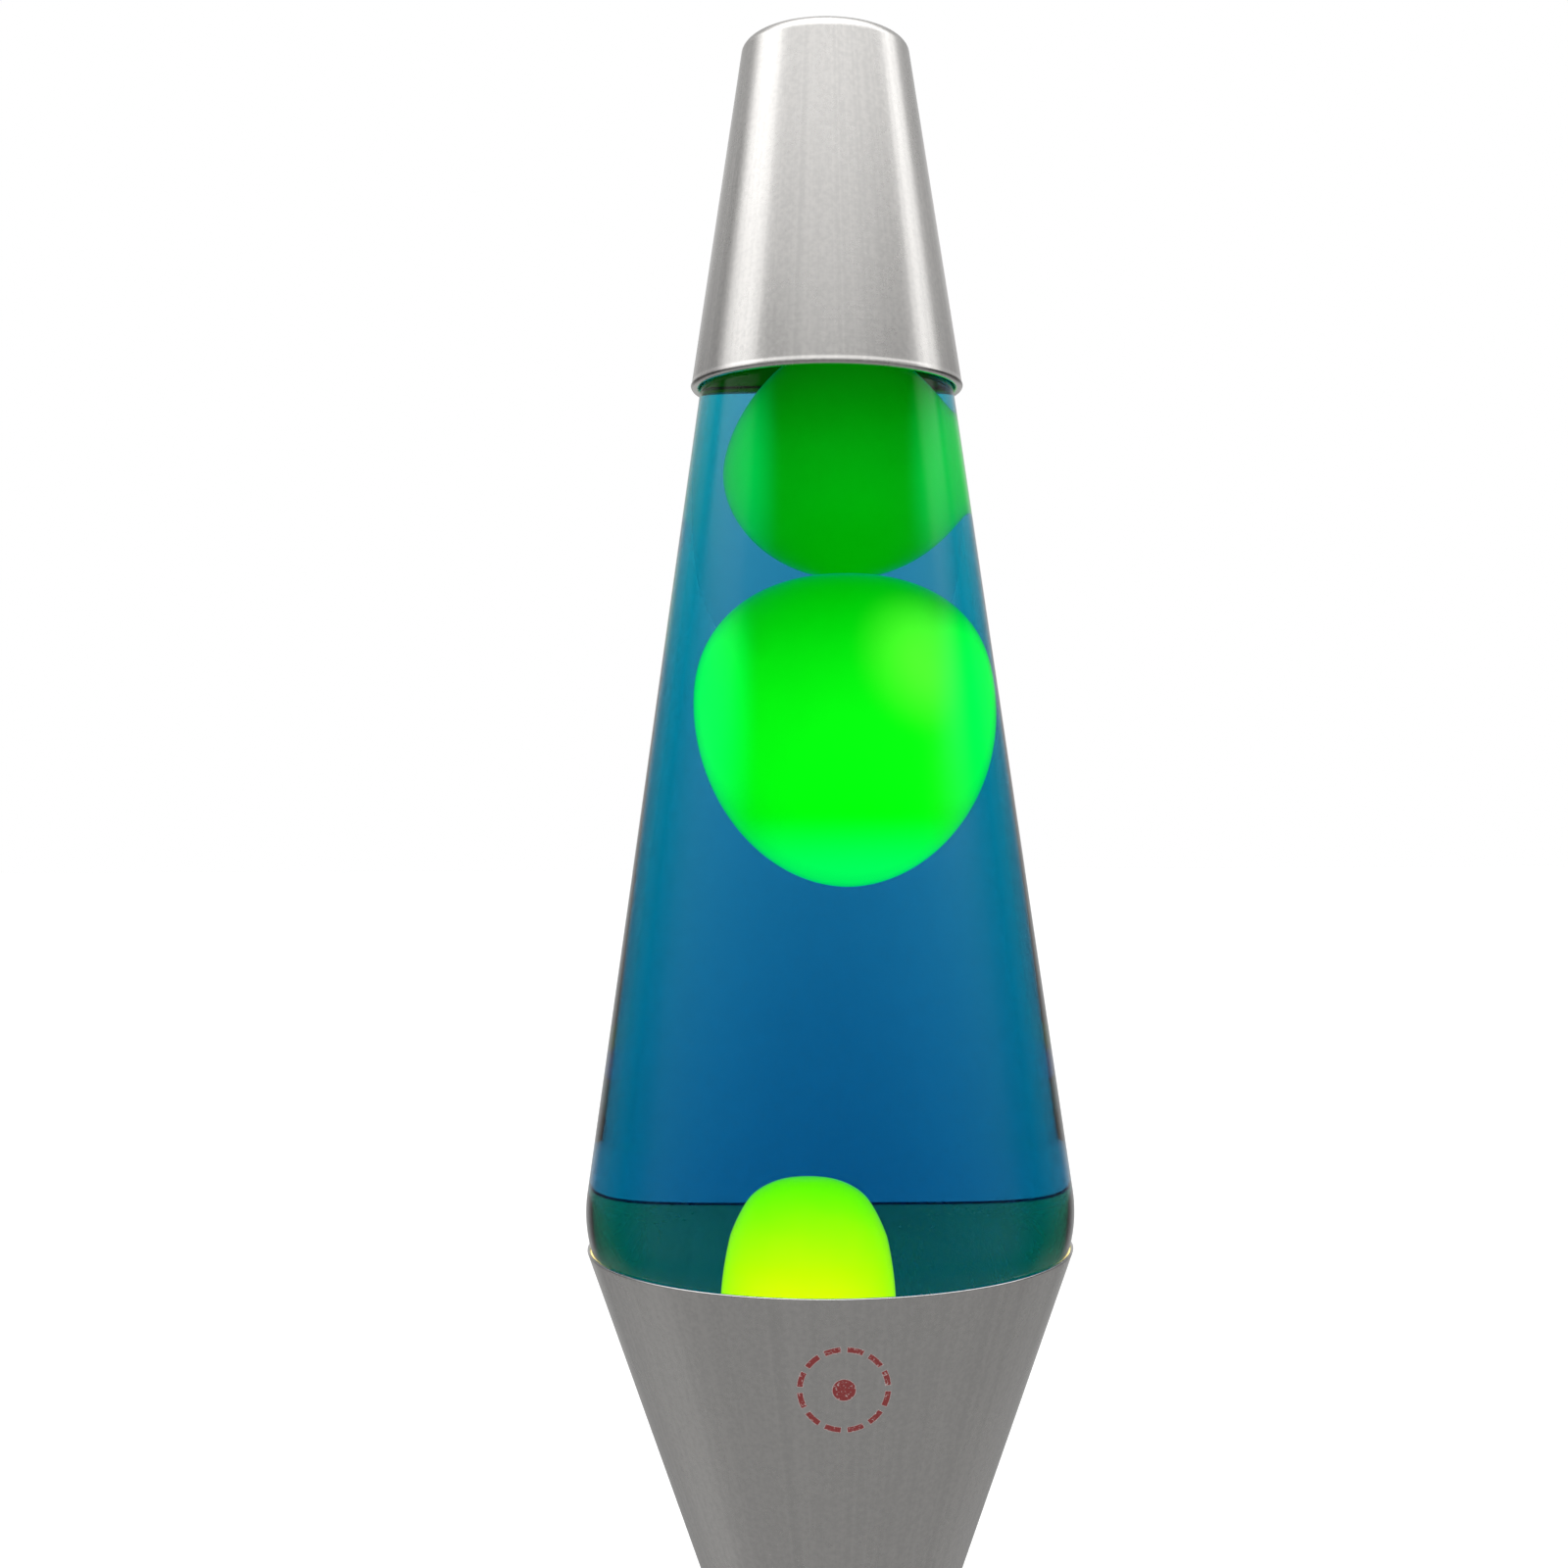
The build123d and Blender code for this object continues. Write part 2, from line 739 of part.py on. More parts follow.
with BuildPart() as bulb_stem:
    with BuildSketch(Plane.XY.offset(bulb_neck_z)):
        Circle(bulb_neck_r - bulb_glass)
    extrude(amount=stem_flare_high)
    with BuildSketch(Plane.XY.offset(bulb_neck_z + stem_flare_high)):
        Circle(stem_r)
    extrude(amount=stem_top_z - bulb_neck_z - stem_flare_high - stem_press_high)
    with BuildSketch(Plane.XY.offset(stem_top_z - stem_press_high)):
        Rectangle(2 * stem_r, stem_r * stem_press_share)
    extrude(amount=stem_press_high)
save(bulb_stem.part, "bulb_stem")

with BuildPart() as bulb_support_wires:
    for side in (-1, 1):
        with BuildLine(mode=Mode.PRIVATE) as support_path:
            Line(
                (side * stem_r / 2, 0, stem_top_z + support_wire_r),
                (side * support_tip_x, 0, filament_z),
            )
        with BuildSketch(Plane(origin=support_path.line @ 0, z_dir=support_path.line % 0)):
            Circle(support_wire_r)
        sweep(path=support_path.line)
save(bulb_support_wires.part, "bulb_support_wires")

with BuildPart() as bulb_filament:
    with BuildLine() as filament_path:
        FilletPolyline(
            (-support_tip_x, 0, filament_z + filament_hook),
            (filament_inset - support_tip_x, -filament_bow, filament_z + filament_rise),
            (support_tip_x - filament_inset, -filament_bow, filament_z + filament_rise),
            (support_tip_x, 0, filament_z + filament_hook),
            radius=filament_corner_r,
        )
    with BuildSketch(Plane(origin=filament_path.line @ 0, z_dir=filament_path.line % 0)):
        Circle(filament_r)
    sweep(path=filament_path.line)
save(bulb_filament.part, "bulb_filament")

# ---------------------------------------------------------------- waist fasteners
flange_top_z = upper_z + cone_wall
standoff_top_z = waist_z - cone_wall
with BuildPart() as waist_washers:
    with BuildSketch(Plane.XY.offset(flange_top_z)):
        with Locations(*stud_places):
            Circle(washer_r)
            Circle(screw_hole_r, mode=Mode.SUBTRACT)
    extrude(amount=washer_thick)
save(waist_washers.part, "waist_washers")

waist_screws = pan_screws(stud_places, flange_top_z + washer_thick, tapped_depth, upward=False)
save(waist_screws, "waist_screws")

with BuildPart() as standoffs:
    with BuildSketch(Plane.XY.offset(foot_z)):
        with Locations(*stud_places):
            RegularPolygon(standoff_flats / 2, 6, major_radius=False)
            Circle(tapped_r, mode=Mode.SUBTRACT)
    extrude(amount=standoff_top_z - foot_z)
    with BuildSketch(Plane.XY.offset(foot_z + tapped_depth)):
        with Locations(*stud_places):
            Circle(tapped_r)
    extrude(amount=standoff_top_z - foot_z - 2 * tapped_depth)
save(standoffs.part, "standoffs")

# ---------------------------------------------------------------- base plate and feet
with BuildPart() as base_plate:
    with BuildSketch(Plane.XY.offset(plate_z)):
        Circle(plate_r)
        with Locations(*stud_places):
            Circle(screw_hole_r, mode=Mode.SUBTRACT)
        with Locations((0, block_y)):
            Circle(screw_hole_r, mode=Mode.SUBTRACT)
        with PolarLocations(vent_r, vent_slots, start_angle=180 / vent_slots):
            SlotOverall(*vent_size, mode=Mode.SUBTRACT)
    extrude(amount=plate_thick)
save(base_plate.part, "base_plate")

plate_screws = pan_screws(stud_places, plate_z, tapped_depth - 1, upward=True)
save(plate_screws, "plate_screws")

with BuildPart() as feet:
    with PolarLocations(pad_circle_r, pad_count, start_angle=45):
        Cylinder(pad_r, plate_z, align=(Align.CENTER, Align.CENTER, Align.MIN))
    pad_edges = feet.edges().filter_by_position(Axis.Z, -touch, touch)
    fillet(pad_edges, plate_z / 4)
save(feet.part, "feet")

# ---------------------------------------------------------------- terminal block and wiring
block_w, block_d, block_h = block_size
clamp_places = []
for x in (-tube_x, tube_x):
    for y in (-clamp_screw_y, clamp_screw_y):
        clamp_places.append((x, block_y + y))
with BuildPart() as terminal_block:
    with Locations((0, block_y, foot_z)):
        Box(block_w, block_d, block_h, align=(Align.CENTER, Align.CENTER, Align.MIN))
    fillet(terminal_block.edges().filter_by(Axis.Z), block_corner_r)
    with BuildSketch(Plane.XZ.offset(-block_y)):
        with Locations((-tube_x, tube_z), (tube_x, tube_z)):
            Circle(tube_r)
    extrude(amount=block_d, both=True, mode=Mode.SUBTRACT)
    with Locations(*[(x, y, tube_z) for x, y in clamp_places]):
        Cylinder(
            clamp_screw_r + clamp_screw_play,
            block_h,
            align=(Align.CENTER, Align.CENTER, Align.MIN),
            mode=Mode.SUBTRACT,
        )
    with Locations((0, block_y, foot_z)):
        Cylinder(screw_hole_r, cutter * block_h, mode=Mode.SUBTRACT)
save(terminal_block.part, "terminal_block")

with BuildPart() as terminal_tubes:
    with BuildSketch(Plane.XZ.offset(-block_y)):
        with Locations((-tube_x, tube_z), (tube_x, tube_z)):
            Circle(tube_r)
            Circle(tube_bore_r, mode=Mode.SUBTRACT)
    extrude(amount=block_d / 2 - tube_end_gap, both=True)
    with Locations(*[(x, y, tube_z) for x, y in clamp_places]):
        Cylinder(
            clamp_screw_r,
            block_h,
            align=(Align.CENTER, Align.CENTER, Align.MIN),
            mode=Mode.SUBTRACT,
        )
save(terminal_tubes.part, "terminal_tubes")

clamp_slot_w, clamp_slot_depth = clamp_slot
with BuildPart() as terminal_screws:
    with Locations(*[(x, y, tube_z + tube_bore_r) for x, y in clamp_places]):
        Cylinder(clamp_screw_r, clamp_screw_high, align=(Align.CENTER, Align.CENTER, Align.MIN))
    with Locations(*[(x, y, tube_z + tube_bore_r + clamp_screw_high) for x, y in clamp_places]):
        Box(2 * clamp_screw_r, clamp_slot_w, 2 * clamp_slot_depth, mode=Mode.SUBTRACT)
save(terminal_screws.part, "terminal_screws")

block_screw = pan_screws([(0, block_y)], foot_z + block_h, block_h + block_screw_tip, upward=False)
save(block_screw, "block_screw")


def lead_wire(side):
    """A short insulated wire from the lampholder's underside to a clamping tube."""
    drop_out, drop_back, drop_down = wire_drop
    knee_in, knee_back, knee_up = wire_knee
    route = [
        (side * wire_start_x, 0, holder_low_z + wire_socket / 2),
        (side * (wire_start_x + drop_out), drop_back, holder_low_z - drop_down),
        (side * (tube_x - knee_in), knee_back, tube_z + knee_up),
        (side * tube_x, block_y - block_d / 2 + wire_end, tube_z),
    ]
    radii = []
    for before, corner, after in zip(route, route[1:], route[2:]):
        run_in = Vector(*corner) - Vector(*before)
        run_out = Vector(*after) - Vector(*corner)
        half_turn = math.radians(run_in.get_angle(run_out)) / 2
        shorter_run = min(run_in.length, run_out.length)
        radii.append(wire_corner_share * shorter_run / math.tan(half_turn))
    with BuildPart() as wire:
        with BuildLine() as path:
            FilletPolyline(*route, radius=radii)
        with BuildSketch(Plane(origin=path.line @ 0, z_dir=path.line % 0)):
            Circle(wire_r)
        sweep(path=path.line)
    length = sum(edge.length for edge in path.edges())
    print("lead wire length", round(length, 1), "bend radii", [round(radius, 1) for radius in radii])
    return wire.part


save(lead_wire(1), "lead_wire_live")
save(lead_wire(-1), "lead_wire_neutral")

# ---------------------------------------------------------------- cord bushing
bushing_in_y, bushing_out_y = bushing_y
with BuildPart() as cord_bushing:
    with BuildSketch(Plane.XZ.offset(-bushing_lip_y)):
        with Locations((0, bushing_z)):
            Circle(bushing_flange_r)
    extrude(amount=-(bushing_out_y - bushing_lip_y))
    add(lower_cone_space.part, mode=Mode.SUBTRACT)
    with BuildSketch(Plane.XZ.offset(-bushing_in_y)):
        with Locations((0, bushing_z)):
            Circle(bushing_r - holder_play)
    extrude(amount=-(bushing_out_y - bushing_in_y))
    with BuildSketch(Plane.XZ.offset(-bushing_in_y)):
        with Locations((0, bushing_z)):
            Circle(bushing_bore_r)
    extrude(amount=-(bushing_out_y - bushing_in_y), mode=Mode.SUBTRACT)
save(cord_bushing.part, "cord_bushing")
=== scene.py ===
"""Looks of the lava lamp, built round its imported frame.

Metres, +Z up, the front faces -Y. Glass, liquid, wax and the spun cap are turned here in fine
meshes; the sheet-metal cones, the lampholder, the bulb's metal parts, the fasteners and the wiring
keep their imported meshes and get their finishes.
"""

import logging
import math
from dataclasses import dataclass, field
from enum import Enum

import bmesh
import bpy
from mathutils import Matrix, Vector


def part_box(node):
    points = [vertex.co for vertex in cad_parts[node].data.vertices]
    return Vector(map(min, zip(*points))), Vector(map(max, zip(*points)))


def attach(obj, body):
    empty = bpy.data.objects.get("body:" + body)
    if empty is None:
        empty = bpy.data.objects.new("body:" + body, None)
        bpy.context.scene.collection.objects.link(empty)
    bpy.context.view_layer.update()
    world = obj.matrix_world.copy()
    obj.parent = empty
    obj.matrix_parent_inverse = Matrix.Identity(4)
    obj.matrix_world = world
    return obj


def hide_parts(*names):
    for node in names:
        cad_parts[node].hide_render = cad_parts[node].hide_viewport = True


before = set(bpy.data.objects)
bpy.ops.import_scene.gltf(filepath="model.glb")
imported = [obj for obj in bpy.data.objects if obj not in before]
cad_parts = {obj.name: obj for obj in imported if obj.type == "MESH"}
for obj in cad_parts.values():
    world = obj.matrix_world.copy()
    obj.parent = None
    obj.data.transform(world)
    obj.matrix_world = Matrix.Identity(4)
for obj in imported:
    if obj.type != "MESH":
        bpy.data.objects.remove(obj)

MM = 0.001
ROUND = 192  # segments of a full turn
SEAM = 1e-6  # distance at which doubled vertices are one
NOISE_SPAN = (0.35, 0.65)  # most values of a noise lie between these
log = logging.getLogger("lava_lamp")


class Blend(Enum):
    """How a finish's grain is stretched along X, Y and Z."""

    MOTTLED = (1.0, 1.0, 1.0)
    BRUSHED = (0.15, 0.15, 3.0)
    MOULDED = (1.0, 1.0, 0.6)


# ---------------------------------------------------------------- node and mesh helpers
class NodeBench:
    """A node tree, with short ways to add and join nodes."""

    def __init__(self, tree: bpy.types.NodeTree) -> None:
        """Starts from an empty tree.

        Args:
            tree: the material's or the world's node tree.
        """
        self.tree = tree
        tree.nodes.clear()

    def add(self, kind: str, **settings: object) -> bpy.types.Node:
        """Adds a node.

        Args:
            kind: the node's type name, without its ShaderNode prefix.
            settings: properties to set on the node.

        Returns:
            The new node.
        """
        node = self.tree.nodes.new("ShaderNode" + kind)
        for name, value in settings.items():
            setattr(node, name, value)
        return node

    def feed(self, socket: bpy.types.NodeSocket, value: object) -> None:
        """Joins another node's socket to this one, or sets its constant.

        Args:
            socket: the input socket.
            value: an output socket, a number or a colour.
        """
        if isinstance(value, bpy.types.NodeSocket):
            self.tree.links.new(value, socket)
        else:
            socket.default_value = value

    def math(self, operation: str, *values: object) -> bpy.types.NodeSocket:
        """A Math node on sockets or numbers.

        Args:
            operation: the node's operation.
            values: its inputs in order.

        Returns:
            Its output.
        """
        node = self.add("Math", operation=operation)
        for socket, value in zip(node.inputs, values):
            self.feed(socket, value)
        return node.outputs[0]

    def times(self, first: object, *others: object) -> bpy.types.NodeSocket:
        """The product of sockets and numbers.

        Args:
            first: the first factor.
            others: the other factors.

        Returns:
            The product.
        """
        for other in others:
            first = self.math("MULTIPLY", first, other)
        return first

    def plus(self, first: object, *others: object) -> bpy.types.NodeSocket:
        """The sum of sockets and numbers.

        Args:
            first: the first term.
            others: the other terms.

        Returns:
            The sum.
        """
        for other in others:
            first = self.math("ADD", first, other)
        return first

    def blended(self, first: object, second: object, share: float) -> bpy.types.NodeSocket:
        """Two values added by their shares.

        Args:
            first: the first value.
            second: the second value.
            share: the first one's share of the sum.

        Returns:
            The sum.
        """
        return self.plus(self.times(first, share), self.times(second, 1 - share))

    def length(self, first: object, second: object) -> bpy.types.NodeSocket:
        """Length of a vector with two parts.

        Args:
            first: one part.
            second: the other part, at right angles to it.

        Returns:
            The length.
        """
        return self.math("SQRT", self.plus(self.times(first, first), self.times(second, second)))

    def axes(self, where: bpy.types.NodeSocket) -> list[bpy.types.NodeSocket]:
        """Splits coordinates.

        Args:
            where: the coordinates.

        Returns:
            Their X, Y and Z.
        """
        node = self.add("SeparateXYZ")
        self.feed(node.inputs[0], where)
        return list(node.outputs)

    def ramp(
        self, value: object, start: float, end: float, low: float = 0.0, high: float = 1.0
    ) -> bpy.types.NodeSocket:
        """A smooth step from low to high as a value goes from start to end.

        Args:
            value: the driving socket.
            start: value at which the step begins.
            end: value at which it ends.
            low: result before the step.
            high: result after it.

        Returns:
            The stepped value.
        """
        node = self.add("MapRange", interpolation_type="SMOOTHSTEP")
        for name, number in (
            ("Value", value),
            ("From Min", start),
            ("From Max", end),
            ("To Min", low),
            ("To Max", high),
        ):
            self.feed(node.inputs[name], number)
        return node.outputs[0]

    def mix(self, share: object, first: object, second: object) -> bpy.types.NodeSocket:
        """A colour between two others.

        Args:
            share: how much of the second colour.
            first: the colour at 0.
            second: the colour at 1.

        Returns:
            The mixed colour.
        """
        node = self.add("Mix", data_type="RGBA")
        factor, *_, start, end = [socket for socket in node.inputs if socket.enabled]
        self.feed(factor, share)
        self.feed(start, first)
        self.feed(end, second)
        return next(socket for socket in node.outputs if socket.enabled)

    def placed(
        self, centre: Vector = Vector(), stretch: Vector = Vector((1, 1, 1))
    ) -> bpy.types.NodeSocket:
        """Object coordinates measured from a centre and stretched.

        Args:
            centre: point that becomes the origin.
            stretch: factor for each axis.

        Returns:
            The coordinates.
        """
        where = self.add("TexCoord").outputs["Object"]
        mapping = self.add("Mapping")
        self.feed(mapping.inputs["Vector"], where)
        mapping.inputs["Scale"].default_value = stretch
        mapping.inputs["Location"].default_value = [-c * s for c, s in zip(centre, stretch)]
        return mapping.outputs[0]

    def noise(self, where: bpy.types.NodeSocket, scale: float, detail: float) -> bpy.types.NodeSocket:
        """Noise from 0 to 1.

        Args:
            where: the coordinates.
            scale: patches per unit of them.
            detail: octaves.

        Returns:
            The noise.
        """
        node = self.add("TexNoise")
        self.feed(node.inputs["Vector"], where)
        node.inputs["Scale"].default_value = scale
        node.inputs["Detail"].default_value = detail
        return node.outputs[0]

    def around(self, patches: float) -> bpy.types.NodeSocket:
        """Noise that changes only with the angle round the lamp's axis.

        Args:
            patches: how finely it changes.

        Returns:
            The noise.
        """
        flat = self.add("VectorMath", operation="NORMALIZE")
        self.feed(flat.inputs[0], self.placed(stretch=Vector((1, 1, 0))))
        return self.noise(flat.outputs[0], patches, 3)

    def bump(self, height: bpy.types.NodeSocket, depth: float, strength: float) -> bpy.types.NodeSocket:
        """A bumped normal.

        Args:
            height: the relief, from 0 to 1.
            depth: metres from its lowest to its highest.
            strength: how much of it shows.

        Returns:
            The normal.
        """
        node = self.add("Bump")
        node.inputs["Strength"].default_value = strength
        node.inputs["Distance"].default_value = depth
        self.feed(node.inputs["Height"], height)
        return node.outputs[0]


class Coating(NodeBench):
    """A material with one Principled shader and its bench."""

    def __init__(self, name: str) -> None:
        """Makes the material, its shader and its output.

        Args:
            name: the material's name.
        """
        self.material = bpy.data.materials.new(name)
        self.material.use_nodes = True
        super().__init__(self.material.node_tree)
        self.shader = self.add("BsdfPrincipled")
        self.output = self.add("OutputMaterial")
        self.feed(self.output.inputs["Surface"], self.shader.outputs[0])

    def set(self, **values: object) -> None:
        """Sets or joins shader inputs, named with _ for a space.

        Args:
            values: numbers, colours or sockets.
        """
        for name, value in values.items():
            self.feed(self.shader.inputs[name.replace("_", " ")], value)


class Turning:
    """A half-profile on the X-Z plane, drawn vertex by vertex and then spun round."""

    def __init__(self, radius: float, height: float) -> None:
        """Starts the profile.

        Args:
            radius: first point's distance from the axis.
            height: its height.
        """
        self.mesh = bmesh.new()
        self.tip = self.mesh.verts.new((radius, 0, height))
        self.corners: list[tuple[bmesh.types.BMVert, float, int]] = []

    def line(
        self, radius: float, height: float, corner: float = 0.0, steps: int = 5, parts: int = 1
    ) -> "Turning":
        """Draws a straight run to a point.

        Args:
            radius: the point's distance from the axis.
            height: its height.
            corner: length cut off each side of it when it is rounded.
            steps: facets of that rounding.
            parts: equal parts of a long run, so that its shading stays even.

        Returns:
            The profile itself.
        """
        step = (Vector((radius, 0, height)) - self.tip.co) / parts
        for _ in range(parts):
            self.tip = bmesh.ops.extrude_vert_indiv(self.mesh, verts=[self.tip])["verts"][0]
            bmesh.ops.translate(self.mesh, vec=step, verts=[self.tip])
        if corner:
            self.corners.append((self.tip, corner, steps))
        return self

    def arc(self, radius: float, height: float, degrees: float, steps: int) -> "Turning":
        """Sweeps the profile's end round a centre, anticlockwise as seen from the front.

        Args:
            radius: the centre's distance from the axis.
            height: its height.
            degrees: the sweep.
            steps: facets of the arc.

        Returns:
            The profile itself.
        """
        swept = bmesh.ops.spin(
            self.mesh,
            geom=[self.tip],
            cent=(radius, 0, height),
            axis=(0, -1, 0),
            angle=math.radians(degrees),
            steps=steps,
            use_duplicate=False,
        )
        self.tip = swept["geom_last"][0]
        return self

    def spin(self) -> bmesh.types.BMesh:
        """Rounds the corners and spins the profile round the Z axis.

        Returns:
            The spun mesh, merged, with its faces outwards.
        """
        for corner, length, steps in self.corners:
            bmesh.ops.bevel(
                self.mesh,
                geom=[corner],
                offset=length,
                offset_type="OFFSET",
                segments=steps,
                profile=0.5,
                affect="VERTICES",
                material=-1,
            )
        bmesh.ops.spin(
            self.mesh,
            geom=self.mesh.verts[:] + self.mesh.edges[:],
            cent=(0, 0, 0),
            axis=(0, 0, 1),
            angle=math.tau,
            steps=ROUND,
            use_merge=True,
        )
        bmesh.ops.remove_doubles(self.mesh, verts=self.mesh.verts[:], dist=SEAM)
        bmesh.ops.recalc_face_normals(self.mesh, faces=self.mesh.faces[:])
        return self.mesh


def piece(
    name: str,
    mesh: bmesh.types.BMesh,
    body: str,
    node: str,
    finishes: list[bpy.types.Material],
    crease: float,
) -> bpy.types.Object:
    """Makes an object of a finished mesh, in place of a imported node.

    Args:
        name: the piece's name.
        mesh: its mesh, in the row frame.
        body: the body that it rides on.
        node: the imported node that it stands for.
        finishes: its materials, in the order of the faces' indices.
        crease: degrees between faces above which an edge is sharp.

    Returns:
        The object.
    """
    for face in mesh.faces:
        face.smooth = True
    for edge in mesh.edges:
        if len(edge.link_faces) == 2:
            edge.smooth = edge.calc_face_angle() < math.radians(crease)
    data = bpy.data.meshes.new(name)
    mesh.to_mesh(data)
    mesh.free()
    for finish in finishes:
        data.materials.append(finish)
    thing = bpy.data.objects.new(name, data)
    bpy.context.scene.collection.objects.link(thing)
    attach(thing, body)
    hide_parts(node)
    log.info("%s: %d faces, rides on %s, stands for %s", name, len(data.polygons), body, node)
    return thing


def dress(material: bpy.types.Material, *nodes: str) -> None:
    """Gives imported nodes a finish.

    Args:
        material: the finish.
        nodes: the nodes' names.
    """
    for name in nodes:
        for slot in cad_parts[name].material_slots:
            slot.material = material
        log.info("%s: keeps its packed mesh, finish %s", name, material.name)


# ---------------------------------------------------------------- finishes
@dataclass(frozen=True)
class PrintedRing:
    """A generic red mark: a ring of short arcs round a dot, printed on the front of the base."""

    across: float = 0.0023
    height: float = 0.1160
    ring: float = 0.0078
    stroke: float = 0.00045
    stroke_edge: float = 1.35  # outer limit of the stroke's soft edge, in strokes
    dot: float = 0.0020
    dot_edge: float = 1.1  # outer limit of the dot's soft edge, in radii
    dashes: int = 12
    dash_end: tuple[float, float] = (0.34, 0.38)  # soft end of each arc, in shares of its step
    wear_scale: float = 2600
    wear: tuple[float, float, float] = (0.30, 0.42, 0.55)  # noise it starts and ends at, ink left
    ink: tuple[float, ...] = (0.16, 0.012, 0.012, 1.0)

    def cover(self, bench: NodeBench) -> bpy.types.NodeSocket:
        """Where the ink lies.

        Args:
            bench: the material's bench.

        Returns:
            1 on the ink and 0 off it.
        """
        x, y, z = bench.axes(bench.placed(centre=Vector((self.across, 0, self.height))))
        out = bench.length(x, z)
        off_ring = bench.math("ABSOLUTE", bench.math("SUBTRACT", out, self.ring))
        ring = bench.ramp(off_ring, self.stroke, self.stroke * self.stroke_edge, 1, 0)
        turn = bench.times(bench.math("ARCTAN2", z, x), self.dashes / math.tau)
        phase = bench.math("FRACT", bench.plus(turn, float(self.dashes)))
        gap = bench.math("ABSOLUTE", bench.math("SUBTRACT", phase, 0.5))
        dashes = bench.times(ring, bench.ramp(gap, *self.dash_end, 1, 0))
        dot = bench.ramp(out, self.dot, self.dot * self.dot_edge, 1, 0)
        front = bench.math("LESS_THAN", y, 0.0)
        worn = bench.ramp(bench.noise(bench.placed(), self.wear_scale, 3), *self.wear, 1)
        return bench.times(bench.math("MAXIMUM", dashes, dot), front, worn)


@dataclass(frozen=True)
class BulbLight:
    """Warm light of the bulb on the inside of the cone that holds the globe."""

    rim_r: float = 0.04715
    rim_z: float = 0.1334
    slope: float = 0.348
    skin: float = 0.0003
    lip: float = 0.0005
    fade_z: float = 0.070
    full_z: float = 0.126
    cloud_scale: float = 90
    cloud: tuple[float, ...] = (0.2, 0.8, 0.85, 1.0)  # noise from and to, light from and to
    glow: tuple[float, ...] = (1.15, 0.85, 0.28, 1.0)
    dark: tuple[float, ...] = (0.0, 0.0, 0.0, 1.0)

    def spread(self, bench: NodeBench) -> bpy.types.NodeSocket:
        """The light on each point: none outside the cone or on its lip.

        Args:
            bench: the material's bench.

        Returns:
            The light's colour.
        """
        x, y, z = bench.axes(bench.placed())
        wall = bench.plus(bench.times(z, self.slope), self.rim_r - self.slope * self.rim_z)
        share = bench.times(
            bench.math("LESS_THAN", bench.length(x, y), bench.math("SUBTRACT", wall, self.skin)),
            bench.math("LESS_THAN", z, self.rim_z - self.lip),
            bench.ramp(bench.noise(bench.placed(), self.cloud_scale, 2), *self.cloud),
            bench.ramp(z, self.fade_z, self.full_z),
        )
        return bench.mix(share, self.dark, self.glow)


@dataclass(frozen=True)
class SpunAluminium:
    """Satin aluminium, spun on a former: fine rings, faint lengthwise streaks and a mottled bloom."""

    name: str
    light: tuple[float, ...] = (0.87, 0.85, 0.825, 1.0)
    dark: tuple[float, ...] = (0.77, 0.755, 0.735, 1.0)
    roughness: float = 0.27
    mottle_scale: float = 1100
    smudge_scale: float = 55
    streaks: float = 26
    ring_stretch: tuple[float, float, float] = (20, 20, 2600)
    ring_depth: float = 0.000004
    ring_strength: float = 0.6
    mark: PrintedRing | None = None
    lit: BulbLight | None = None

    def make(self) -> bpy.types.Material:
        """Builds the material.

        Returns:
            The material.
        """
        coat = Coating(self.name)
        mottle = coat.noise(coat.placed(), self.mottle_scale, 4)
        rings = coat.noise(coat.placed(stretch=Vector(self.ring_stretch)), 1.0, 3)
        smudge = coat.noise(coat.placed(), self.smudge_scale, 2)
        tone = coat.blended(mottle, coat.around(self.streaks), 0.55)
        colour = coat.mix(coat.ramp(tone, *NOISE_SPAN), self.dark, self.light)
        rough = coat.plus(self.roughness - 0.06, coat.times(smudge, 0.10), coat.times(mottle, 0.03))
        metal: object = 1.0
        if self.mark:
            ink = self.mark.cover(coat)
            colour = coat.mix(ink, colour, self.mark.ink)
            metal = coat.math("SUBTRACT", 1.0, ink)
            rough = coat.plus(rough, coat.times(ink, 0.2))
        if self.lit:
            coat.set(Emission_Color=self.lit.spread(coat), Emission_Strength=1.0)
            coat.material.cycles.emission_sampling = "NONE"
        relief = coat.bump(coat.blended(rings, mottle, 0.8), self.ring_depth, self.ring_strength)
        coat.set(Base_Color=colour, Metallic=metal, Roughness=rough, Normal=relief)
        return coat.material


